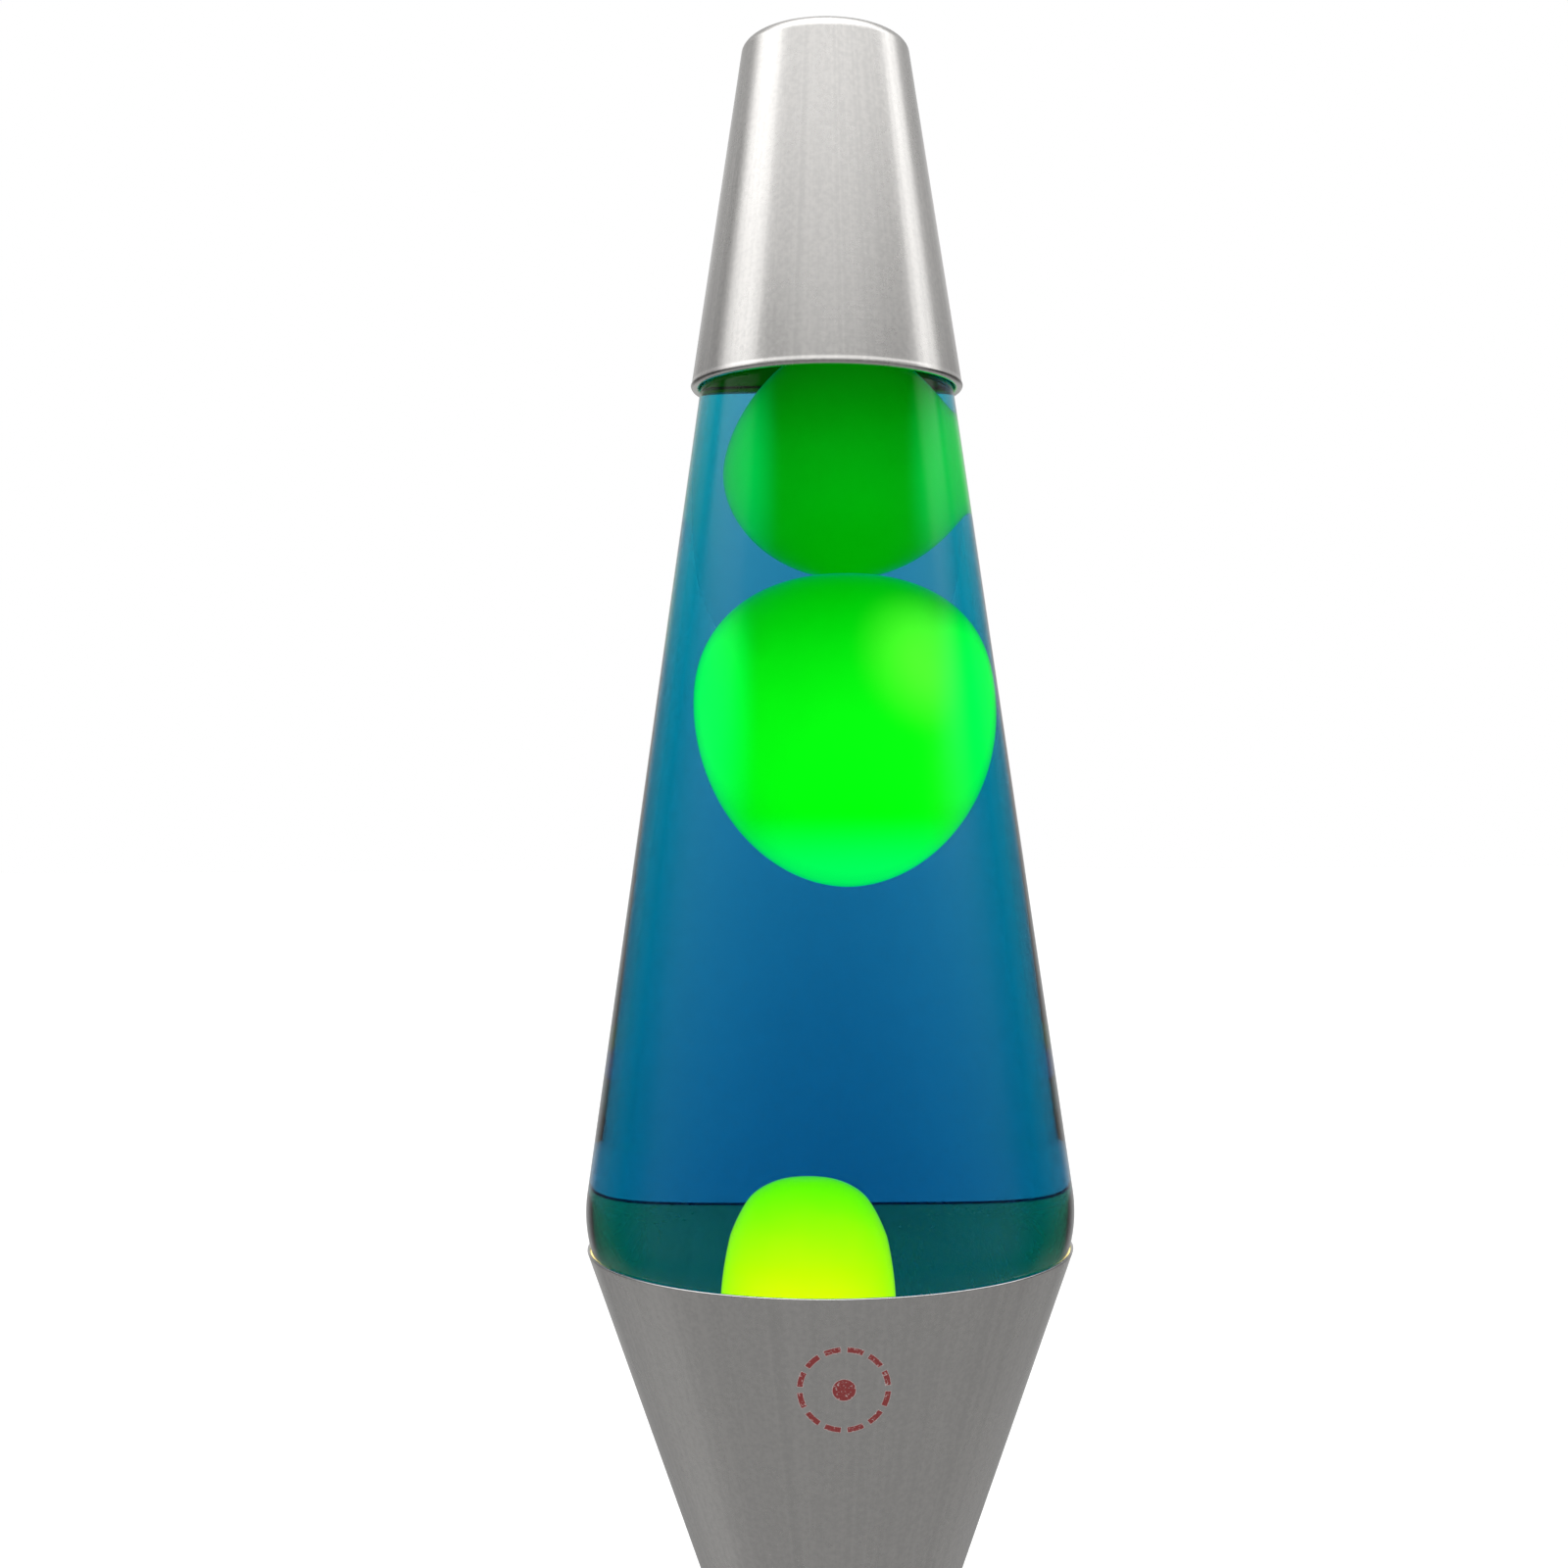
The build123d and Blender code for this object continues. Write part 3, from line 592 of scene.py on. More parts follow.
@dataclass(frozen=True)
class ClearGlass:
    """Clear moulded glass with the slight waviness of a blown wall, and a painted shade where it is seen
    edge-on.
    """

    name: str
    index: float = 1.5
    wave_scale: float = 45
    wave_depth: float = 0.00002
    wave_strength: float = 0.15
    # edge and the fields below: painted shade, a tint that the glass takes where it is seen edge-on, between
    # heights edge_from and edge_to, darkening its silhouettes.
    edge: tuple[float, ...] = (0.90, 0.96, 0.94, 1.0)
    edge_rise: tuple[float, float] = (0.05, 0.50)  # how edge-on the tint sets in
    edge_fall: tuple[float, ...] = (0.60, 0.85, 1, 0.3)  # how edge-on it fades, and to what
    edge_from: float = -1.0
    edge_to: float = 1.0
    edge_soft: float = 2 * MM
    gloss: float = 1.0

    def make(self) -> bpy.types.Material:
        """Builds the material.

        Returns:
            The material.
        """
        coat = Coating(self.name)
        wave = coat.noise(coat.placed(stretch=Vector((1, 1, 0.5))), self.wave_scale, 1)
        clear = coat.mix(wave, (0.985, 0.995, 0.990, 1), (0.995, 1.0, 1.0, 1))
        # Painted shade: the edge colour where the glass is seen edge-on.
        facing = coat.add("LayerWeight").outputs["Facing"]
        height = coat.axes(coat.placed())[2]
        edge_shade_share = coat.times(
            coat.ramp(facing, *self.edge_rise),
            coat.ramp(facing, *self.edge_fall),
            coat.ramp(height, self.edge_from - self.edge_soft, self.edge_from),
            coat.math("LESS_THAN", height, self.edge_to),
        )
        coat.set(
            Base_Color=coat.mix(edge_shade_share, clear, self.edge),
            Roughness=0.0,
            IOR=self.index,
            Transmission_Weight=1.0,
            Specular_Tint=(self.gloss, self.gloss, self.gloss, 1.0),
            Normal=coat.bump(wave, self.wave_depth, self.wave_strength),
        )
        return coat.material


@dataclass(frozen=True)
class DyedLiquid:
    """Clear liquid with a blue dye that soaks up red at once and green faster than blue."""

    name: str
    index: float = 1.0
    density: float = 75.0
    tint: tuple[float, ...] = (0.0, 0.605, 0.757, 1.0)
    drift_scale: float = 30

    def make(self) -> bpy.types.Material:
        """Builds the material.

        Returns:
            The material.
        """
        coat = Coating(self.name)
        drift = coat.noise(coat.placed(stretch=Vector((1, 1, 0.3))), self.drift_scale, 1)
        coat.set(
            Base_Color=coat.mix(drift, (0.99, 1.0, 1.0, 1), (1.0, 1.0, 1.0, 1)),
            Roughness=0.0,
            IOR=self.index,
            Transmission_Weight=1.0,
        )
        dye = coat.add("VolumeAbsorption")
        dye.inputs["Color"].default_value = self.tint
        dye.inputs["Density"].default_value = self.density
        coat.feed(coat.output.inputs["Volume"], dye.outputs[0])
        return coat.material


@dataclass(frozen=True)
class GlowingWax:
    """Warm wax, with the light of the bulb below painted in as its glow: the glow changes with height, and
    its rim catches the blue round it.
    """

    name: str
    low_z: float
    high_z: float
    low: tuple[float, ...]
    high: tuple[float, ...]
    body: tuple[float, ...] = (0.0, 0.42, 0.005, 1.0)
    body_shade: tuple[float, ...] = (0.0, 0.336, 0.004, 1.0)
    cloud_scale: float = 70
    cloud_lift: float = 0.006  # metres by which the clouds shift the glow's height
    grain_scale: float = 420
    grain_depth: float = 0.00004
    rim: float = 0.9
    rim_tint: tuple[float, ...] = (0.0, 0.85, 1.0, 1.0)
    # The under colour is painted light: a brighter, bluer glow on the blob's underside, full up to
    # under_span's first height above under_z and gone by its second.
    under_z: float = 0.0
    under_span: tuple[float, float] = (2 * MM, 15 * MM)
    under: tuple[float, ...] = (0.0, 1.9, 0.16, 1.0)
    # The warm colour is painted light: a warmer, brighter patch of glow round warm_at, full within warm_core
    # of warm_r and gone at warm_r.
    warm_at: tuple[float, float, float] | None = None
    warm: tuple[float, ...] = (0.13, 1.12, 0.03, 1.0)
    warm_r: float = 0.016
    warm_core: float = 0.2  # share of warm_r that is fully warm
    # The side colour is painted light: a lighter, bluer glow on the flanks, left and right of side_x along
    # X, from side_core of side_r outwards.
    side_x: float = 0.0
    side_r: float = 0.0
    side_core: float = 0.62  # share of side_r at which the flanks begin to lighten
    side: tuple[float, ...] = (0.0, 1.8, 0.13, 1.0)

    def shine(self, coat: Coating, cloud: bpy.types.NodeSocket) -> bpy.types.NodeSocket:
        """The light painted into the wax as its glow, by height and place.

        Args:
            coat: the material.
            cloud: its slow noise.

        Returns:
            The light's colour.
        """
        across, _, height = coat.axes(coat.placed())
        lifted = coat.plus(height, coat.times(cloud, self.cloud_lift))
        glow = coat.mix(coat.ramp(lifted, self.low_z, self.high_z), self.low, self.high)
        # Painted light on the underside.
        if self.under_z:
            near, far = (self.under_z + rise for rise in self.under_span)
            glow = coat.mix(coat.ramp(height, near, far, 1, 0), glow, self.under)
        # Painted light: the warm patch.
        if self.warm_at:
            away = coat.add("VectorMath", operation="LENGTH")
            coat.feed(away.inputs[0], coat.placed(centre=Vector(self.warm_at)))
            core = self.warm_r * self.warm_core
            glow = coat.mix(coat.ramp(away.outputs["Value"], core, self.warm_r, 1, 0), glow, self.warm)
        # Painted light on the flanks.
        if self.side_r:
            out = coat.math("ABSOLUTE", coat.math("SUBTRACT", across, self.side_x))
            flank = coat.ramp(out, self.side_r * self.side_core, self.side_r)
            glow = coat.mix(flank, glow, self.side)
        return glow

    def make(self) -> bpy.types.Material:
        """Builds the material.

        Returns:
            The material.
        """
        coat = Coating(self.name)
        cloud = coat.noise(coat.placed(), self.cloud_scale, 2)
        fine = coat.noise(coat.placed(), self.grain_scale, 3)
        coat.set(
            Base_Color=coat.mix(cloud, self.body, self.body_shade),
            Roughness=coat.plus(0.32, coat.times(fine, 0.12)),
            IOR=1.45,
            Specular_IOR_Level=0.05,
            Sheen_Weight=self.rim,
            Sheen_Roughness=0.25,
            Sheen_Tint=self.rim_tint,
            Emission_Color=self.shine(coat, cloud),
            Emission_Strength=1.0,
            Normal=coat.bump(fine, self.grain_depth, 0.3),
        )
        return coat.material


@dataclass(frozen=True)
class Surface:
    """Any plain metal, plastic or rubber of the inner parts."""

    name: str
    first: tuple[float, float, float]
    second: tuple[float, float, float]
    metallic: float = 0.0
    roughness: float = 0.4
    grain: float = 500.0
    blend: Blend = Blend.MOTTLED
    depth: float = 0.00003
    glow: tuple[float, float, float] | None = None

    def make(self) -> bpy.types.Material:
        """Builds the material.

        Returns:
            The material.
        """
        coat = Coating(self.name)
        grain = coat.noise(coat.placed(stretch=Vector(self.blend.value)), self.grain, 3)
        cloud = coat.noise(coat.placed(), self.grain / 8, 2)
        tone = coat.ramp(coat.blended(grain, cloud, 0.5), *NOISE_SPAN)
        coat.set(
            Base_Color=coat.mix(tone, (*self.first, 1), (*self.second, 1)),
            Metallic=self.metallic,
            Roughness=coat.plus(self.roughness - 0.05, coat.times(cloud, 0.16)),
            Normal=coat.bump(grain, self.depth, 0.4),
        )
        if self.glow:
            coat.set(Emission_Color=(*self.glow, 1), Emission_Strength=1.0)
            coat.material.cycles.emission_sampling = "NONE"
        return coat.material


@dataclass(frozen=True)
class WoundWire:
    """Bright wire wound closely round a ring."""

    name: str
    turns: int = 260
    between: tuple[float, ...] = (0.22, 0.22, 0.23, 1)
    crest: tuple[float, ...] = (0.66, 0.66, 0.67, 1)
    depth: float = 0.0002

    def make(self) -> bpy.types.Material:
        """Builds the material.

        Returns:
            The material.
        """
        coat = Coating(self.name)
        x, y, _ = coat.axes(coat.placed())
        wave = coat.math("SINE", coat.times(coat.math("ARCTAN2", y, x), float(self.turns)))
        coil = coat.plus(coat.times(wave, 0.5), 0.5)
        scale = coat.noise(coat.placed(), 900, 3)
        coat.set(
            Base_Color=coat.mix(coil, self.between, self.crest),
            Metallic=1.0,
            Roughness=coat.plus(0.22, coat.times(scale, 0.15)),
            Normal=coat.bump(coil, self.depth, 0.9),
        )
        return coat.material


# ---------------------------------------------------------------- sub-assemblies
@dataclass
class Globe:
    """The glass globe, its liquid and the wax that stays at its bottom."""

    wall: float = 2.5 * MM
    play: float = 0.05 * MM
    bottom_z: float = 98.0 * MM
    punt: float = 4.0 * MM
    punt_steps: int = 10
    heel_z: float = 140.4 * MM
    heel_r: float = 47.3 * MM
    heel_arc: float = 25.4 * MM
    lean: float = math.radians(8.22)
    taper: float = math.radians(24.0)
    foot_corner: float = 6.0 * MM
    foot_cut: float = 0.75  # length cut off each side, for each unit of the corner's radius
    shoulder_z: float = 336.0 * MM
    shoulder_corner: float = 3.4 * MM
    neck_r: float = 12.4 * MM
    neck_z: float = 344.0 * MM
    neck_corner: float = 0.8 * MM
    bead_r: float = 13.3 * MM
    bead_z: float = 347.2 * MM
    bead_under: float = 1.0 * MM
    bead_corner: float = 0.6 * MM
    bead_bevel: float = 1.2 * MM
    small_corner: float = 0.4 * MM
    lip_z: float = 352.5 * MM
    lip_corner: float = 0.5 * MM
    mouth_r: float = 8.2 * MM
    mouth_corner: float = 0.8 * MM
    ledge: float = 0.5 * MM
    ledge_corner: float = 1.0 * MM
    join_drop: float = 1.0 * MM  # the wet wall meets the dry one this far under the shoulder
    liquid_z: float = 318.0 * MM
    level: float = 0.9  # upward part of a normal above which a face is the liquid's top
    pool_z: float = 122.0 * MM
    pool_corner: float = 0.3 * MM
    pool_skin: float = 0.2 * MM
    tint_z: float = 130.0 * MM
    dome_x: float = -3.2 * MM
    dome_z: float = 128.0 * MM
    dome_up: float = 18.5 * MM
    # radius, height above dome_z, corner and its facets
    dome: tuple[tuple[float, float, float, int], ...] = (
        (12.7065 * MM, -1.5 * MM, 2.5 * MM, 8),
        (11.9325 * MM, 8.325 * MM, 6.4 * MM, 12),
        (6.708 * MM, 17.945 * MM, 4.3 * MM, 10),
    )
    shore_r: float = 18.6 * MM
    shore_corner: float = 3.0 * MM
    shore_spread: float = 0.4  # share of shore_r over which the dome's offset fades
    arc_steps: int = 20
    side_parts: int = 30
    # Painted shade on the dry glass: its edge-on tint over the liquid, from tint_z up to the liquid's top.
    edge_shade_tint: tuple[float, ...] = (0.0, 0.66, 0.61, 1.0)

    def side_r(self, height: float, inset: float) -> float:
        """Radius of the upper side at a height, that far inside the glass."""
        reach = self.heel_arc - inset - (height - self.heel_z) * math.sin(self.lean)
        return self.heel_r - self.heel_arc + reach / math.cos(self.lean)

    def taper_r(self, height: float, inset: float) -> float:
        """Radius of the lower taper at a height, that far inside the glass."""
        reach = self.heel_arc - inset - (self.heel_z - height) * math.sin(self.taper)
        return self.heel_r - self.heel_arc + reach / math.cos(self.taper)

    def bottom(self, inset: float) -> Turning:
        """The pushed-up bottom with its rounded foot, drawn from the axis outwards.

        Args:
            inset: distance inside the glass surface.

        Returns:
            The open profile.
        """
        peak = self.bottom_z + inset + self.punt
        foot = self.taper_r(self.bottom_z + inset, inset)
        sphere_r = (foot**2 + self.punt**2) / (2 * self.punt)
        sweep = math.degrees(math.asin(foot / sphere_r))
        profile = Turning(0, peak).arc(0, peak - sphere_r, -sweep, self.punt_steps)
        profile.corners.append((profile.tip, (self.foot_corner - inset) * self.foot_cut, 6))
        return profile

    def bowl(self, inset: float, top: float) -> Turning:
        """The globe's profile from the middle of its bottom up to a height.

        Args:
            inset: distance inside the glass surface.
            top: height at which it stops, above the widest ring.

        Returns:
            The open profile.
        """
        arc_r = self.heel_arc - inset
        axis_r = self.heel_r - self.heel_arc
        profile = self.bottom(inset)
        profile.line(axis_r + arc_r * math.cos(self.taper), self.heel_z - arc_r * math.sin(self.taper))
        profile.arc(axis_r, self.heel_z, math.degrees(self.taper + self.lean), self.arc_steps)
        return profile.line(self.side_r(top, inset), top, parts=self.side_parts)

    def glass(self) -> bmesh.types.BMesh:
        """The globe's wall, with a second finish where the inside is wet.

        Returns:
            The mesh.
        """
        outer = self.bowl(0, self.shoulder_z)
        outer.corners.append((outer.tip, self.shoulder_corner, 6))
        inner_top = self.shoulder_z - self.wall / 2
        for radius, height, corner, steps in (
            (self.neck_r, self.neck_z, self.neck_corner, 3),
            (self.neck_r, self.bead_z - self.bead_under, self.small_corner, 3),
            (self.bead_r, self.bead_z, self.bead_corner, 3),
            (self.bead_r, self.lip_z - self.bead_bevel, self.small_corner, 3),
            (self.bead_r - self.bead_bevel, self.lip_z, self.lip_corner, 3),
            (self.mouth_r, self.lip_z, self.mouth_corner, 4),
            (self.mouth_r, self.neck_z, self.neck_corner, 3),
            (self.side_r(inner_top, self.wall) - self.ledge, inner_top, self.ledge_corner, 4),
        ):
            outer.line(radius, height, corner, steps)
        inner = self.bowl(self.wall, self.liquid_z)
        inner.line(outer.tip.co.x, inner_top - self.join_drop)
        wall = outer.spin()
        wet = inner.spin()
        bmesh.ops.reverse_faces(wet, faces=wet.faces[:])
        for face in wet.faces:
            face.material_index = 1 if face.calc_center_median().z < self.liquid_z else 0
        spare = bpy.data.meshes.new("wet_wall")
        wet.to_mesh(spare)
        wet.free()
        wall.from_mesh(spare)
        bpy.data.meshes.remove(spare)
        open_edges = [edge for edge in wall.edges if edge.is_boundary]
        bmesh.ops.bridge_loops(wall, edges=open_edges)
        bmesh.ops.remove_doubles(wall, verts=wall.verts[:], dist=SEAM)
        return wall

    def liquid(self) -> bmesh.types.BMesh:
        """The liquid as one body: side faces first finish, top face second.

        Returns:
            The mesh.
        """
        mesh = self.bowl(self.wall + self.play, self.liquid_z).line(0, self.liquid_z).spin()
        for face in mesh.faces:
            on_top = face.normal.z > self.level and face.calc_center_median().z > self.heel_z
            face.material_index = 1 if on_top else 0
        return mesh

    def pool(self) -> bmesh.types.BMesh:
        """The wax at the bottom with the dome that rises from it, a little left of the middle.

        Returns:
            The mesh.
        """
        inset = self.wall + 2 * self.play
        edge = self.taper_r(self.pool_z, inset)
        profile = self.bottom(inset)
        profile.line(edge, self.pool_z, self.pool_corner, 3)
        profile.line((edge + self.shore_r) / 2, self.pool_z)
        profile.line(self.shore_r, self.pool_z, self.shore_corner, 8)
        for radius, rise, corner, steps in self.dome:
            profile.line(radius, self.dome_z + rise, corner, steps)
        mesh = profile.line(0, self.dome_z + self.dome_up).spin()
        for vert in mesh.verts:
            if vert.co.z > self.pool_z - self.pool_skin:
                out = math.hypot(vert.co.x, vert.co.y)
                share = (out - self.shore_r) / (self.shore_r * self.shore_spread)
                share = min(1.0, max(0.0, share))
                vert.co.x += self.dome_x * (1 - share * share * (3 - 2 * share))
        return mesh

    def build(self) -> None:
        """Makes glass, liquid and pool wax."""
        dry = ClearGlass(
            "glass_in_air", edge=self.edge_shade_tint, edge_from=self.tint_z, edge_to=self.liquid_z, gloss=0.15
        )
        wet = ClearGlass("glass_on_liquid", index=1.125, gloss=0.0)
        side = DyedLiquid("liquid_on_glass")
        top = DyedLiquid("liquid_in_air", index=1.333)
        # The pool's glow is painted light of the bulb below: yellower low down, greener towards the dome's
        # top.
        wax = GlowingWax(
            "wax_pool_glow",
            low_z=self.pool_z + 4 * MM,
            high_z=self.dome_z + self.dome_up + 4 * MM,
            low=(9.8, 3.3, 0.0, 1),
            high=(2.1, 3.0, 0.0, 1),
        )
        glass = [dry.make(), wet.make()]
        piece("glass_wall", self.glass(), "globe", "glass_globe", glass, 50)
        fill = [side.make(), top.make()]
        piece("liquid_fill", self.liquid(), "globe", "liquid", fill, 30)
        piece("pool_wax", self.pool(), "globe", "wax_pool", [wax.make()], 60)
        dress(WoundWire("wound_wire").make(), "wire_coil")


@dataclass
class WaxBlob:
    """A free blob of wax, egg-shaped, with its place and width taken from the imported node."""

    node: str
    name: str
    body: str
    low: float
    widest: float
    high: float
    forward: float
    across: float
    swell: float
    full_above: float
    full_below: float
    glow: GlowingWax
    segments: int = 128
    rings: int = 96

    def build(self) -> None:
        """Makes the blob."""
        near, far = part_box(self.node)
        centre = (near + far) / 2
        radius = self.swell * (far.x - near.x) / 2
        place = (centre.x + self.across, centre.y - self.forward, self.widest)
        mesh = bmesh.new()
        bmesh.ops.create_uvsphere(mesh, u_segments=self.segments, v_segments=self.rings, radius=1.0)
        for vert in mesh.verts:
            level = min(1.0, abs(vert.co.z))
            out = math.hypot(vert.co.x, vert.co.y)
            if out > SEAM:
                power = self.full_above if vert.co.z > 0 else self.full_below
                full = (1 - level**power) ** (1 / power)
                vert.co.x *= full / out
                vert.co.y *= full / out
        above = [vert for vert in mesh.verts if vert.co.z > 0]
        below = [vert for vert in mesh.verts if vert.co.z <= 0]
        bmesh.ops.scale(mesh, vec=(radius, radius, self.high - self.widest), verts=above)
        bmesh.ops.scale(mesh, vec=(radius, radius, self.widest - self.low), verts=below)
        bmesh.ops.translate(mesh, vec=place, verts=mesh.verts[:])
        piece(self.name, mesh, self.body, self.node, [self.glow.make()], 180)


@dataclass
class Cap:
    """The spun cap: a leaning side, a rounded top corner, a slightly domed top and a curled rim."""

    wall: float = 0.8 * MM
    rim_z: float = 299.3 * MM
    rim_r: float = 26.45 * MM
    slope: float = math.tan(math.radians(8.76))
    corner: float = 4.128 * MM  # length cut off each side of the top corner
    corner_z: float = 367.6 * MM
    top_z: float = 368.0 * MM
    dome_at: float = 0.55  # share of the top's radius at which its dome is measured
    dome_drop: float = 0.3  # share of the dome's height lost there
    dome_corner: float = 2 * MM
    curl: float = 0.8 * MM
    lip: float = 0.5 * MM
    side_parts: int = 24
    curl_steps: int = 18

    def side_r(self, height: float) -> float:
        """Outer radius of the side at a height."""
        return self.rim_r - self.slope * (height - self.rim_z)

    def build(self) -> None:
        """Makes the cap."""
        outer_r = self.side_r(self.corner_z)
        dome_r = outer_r * self.dome_at
        dome_z = self.top_z - self.dome_drop * (self.top_z - self.corner_z)
        lip_z = self.rim_z + self.curl + self.lip
        profile = Turning(0, self.top_z)
        profile.line(dome_r, dome_z, self.dome_corner, 4)
        profile.line(outer_r, self.corner_z, self.corner, 14)
        profile.line(self.side_r(lip_z + self.lip), lip_z + self.lip, parts=self.side_parts)
        profile.line(self.side_r(lip_z), lip_z)
        profile.line(self.rim_r, self.rim_z + self.curl)
        profile.arc(self.rim_r - self.curl, self.rim_z + self.curl, -270, self.curl_steps)
        profile.line(outer_r - self.wall, self.corner_z - self.wall, self.corner - self.wall, 10)
        profile.line(dome_r, dome_z - self.wall, self.dome_corner, 4)
        profile.line(0, self.top_z - self.wall)
        metal = SpunAluminium("cap_aluminium").make()
        piece("cap_spun", profile.spin(), "cap", "cap_shell", [metal], 50)


@dataclass
class Fitted:
    """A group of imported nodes, each with the finish it gets."""

    finishes: tuple[tuple[Surface | ClearGlass | SpunAluminium, tuple[str, ...]], ...] = ()

    def build(self) -> None:
        """Gives every node of the group its finish."""
        for finish, nodes in self.finishes:
            dress(finish.make(), *nodes)


@dataclass
class Base(Fitted):
    """The two sheet cones, the plate, the feet, the fasteners and the cord's bushing."""

    finishes: tuple = (
        (
            SpunAluminium("upper_cone_aluminium", mark=PrintedRing(), lit=BulbLight()),
            ("base_upper_cone",),
        ),
        (SpunAluminium("lower_cone_aluminium"), ("base_lower_cone",)),
        (
            Surface("zinc_plate", (0.50, 0.52, 0.56), (0.72, 0.72, 0.68), 1.0, 0.33, 260, depth=0.00001),
            (
                "base_plate",
                "waist_screws",
                "waist_washers",
                "standoffs",
                "plate_screws",
                "block_screw",
                "socket_cup",
                "terminal_screws",
            ),
        ),
        (Surface("foot_rubber", (0.012, 0.012, 0.013), (0.03, 0.03, 0.03), 0.0, 0.72, 1500), ("feet",)),
        (
            Surface("bushing_nylon", (0.014, 0.014, 0.015), (0.028, 0.028, 0.03), 0.0, 0.42, 1100),
            ("cord_bushing",),
        ),
    )


@dataclass
class Lampholder(Fitted):
    """The moulded holder and its ring."""

    finishes: tuple = (
        (
            Surface(
                "holder_phenolic", (0.018, 0.013, 0.010), (0.045, 0.03, 0.022), 0.0, 0.34, 800, Blend.MOULDED
            ),
            ("socket_body", "socket_ring"),
        ),
    )


@dataclass
class Wiring(Fitted):
    """Terminal block, its tubes, the holder's contacts and the two lead wires."""

    finishes: tuple = (
        (
            Surface("block_nylon", (0.72, 0.70, 0.64), (0.82, 0.81, 0.77), 0.0, 0.45, 900, Blend.MOULDED),
            ("terminal_block",),
        ),
        (
            Surface("tube_brass", (0.62, 0.42, 0.16), (0.80, 0.60, 0.27), 1.0, 0.30, 700, Blend.BRUSHED),
            ("terminal_tubes", "socket_centre_contact", "socket_screw_shell"),
        ),
        (
            Surface("live_sleeve", (0.10, 0.035, 0.012), (0.15, 0.055, 0.02), 0.0, 0.38, 1300),
            ("lead_wire_live",),
        ),
        (
            Surface("neutral_sleeve", (0.008, 0.06, 0.28), (0.012, 0.09, 0.38), 0.0, 0.38, 1300),
            ("lead_wire_neutral",),
        ),
    )


@dataclass
class Bulb(Fitted):
    """The bulb: clear envelope, stem, filament and screw base."""

    finishes: tuple = (
        (ClearGlass("bulb_clear", index=1.15, wave_depth=0.00001), ("bulb_envelope",)),
        (ClearGlass("stem_clear", wave_depth=0.00001), ("bulb_stem",)),
        (
            Surface("shell_brass", (0.60, 0.44, 0.20), (0.78, 0.62, 0.33), 1.0, 0.28, 900, Blend.BRUSHED),
            ("bulb_screw_shell",),
        ),
        (
            Surface("base_glass", (0.01, 0.012, 0.02), (0.02, 0.022, 0.03), 0.0, 0.16, 600),
            ("bulb_insulator",),
        ),
        (Surface("solder", (0.42, 0.42, 0.43), (0.62, 0.62, 0.62), 1.0, 0.42, 1600), ("bulb_contact",)),
        (
            Surface("support_nickel", (0.45, 0.44, 0.42), (0.6, 0.6, 0.58), 1.0, 0.3, 1600),
            ("bulb_support_wires",),
        ),
        (
            Surface(
                "tungsten_hot", (0.16, 0.15, 0.14), (0.24, 0.23, 0.22), 1.0, 0.5, 3000, glow=(6.0, 2.6, 0.7)
            ),
            ("bulb_filament",),
        ),
    )


@dataclass
class Crown(Fitted):
    """The bottle's crown cap and its liner, under the lift-off cap."""

    finishes: tuple = (
        (
            Surface("crown_tinplate", (0.62, 0.62, 0.61), (0.80, 0.79, 0.77), 1.0, 0.22, 420, depth=0.00001),
            ("crown_cap",),
        ),
        (Surface("liner_sheet", (0.62, 0.62, 0.60), (0.74, 0.74, 0.72), 0.0, 0.5, 900), ("crown_liner",)),
    )


# ---------------------------------------------------------------- studio
@dataclass(frozen=True)
class Panel:
    """A bright panel that mirrors see, in degrees of turn and rise, with soft edges."""

    turn: tuple[float, float, float]
    rise: tuple[float, float, float]
    low: float
    high: float


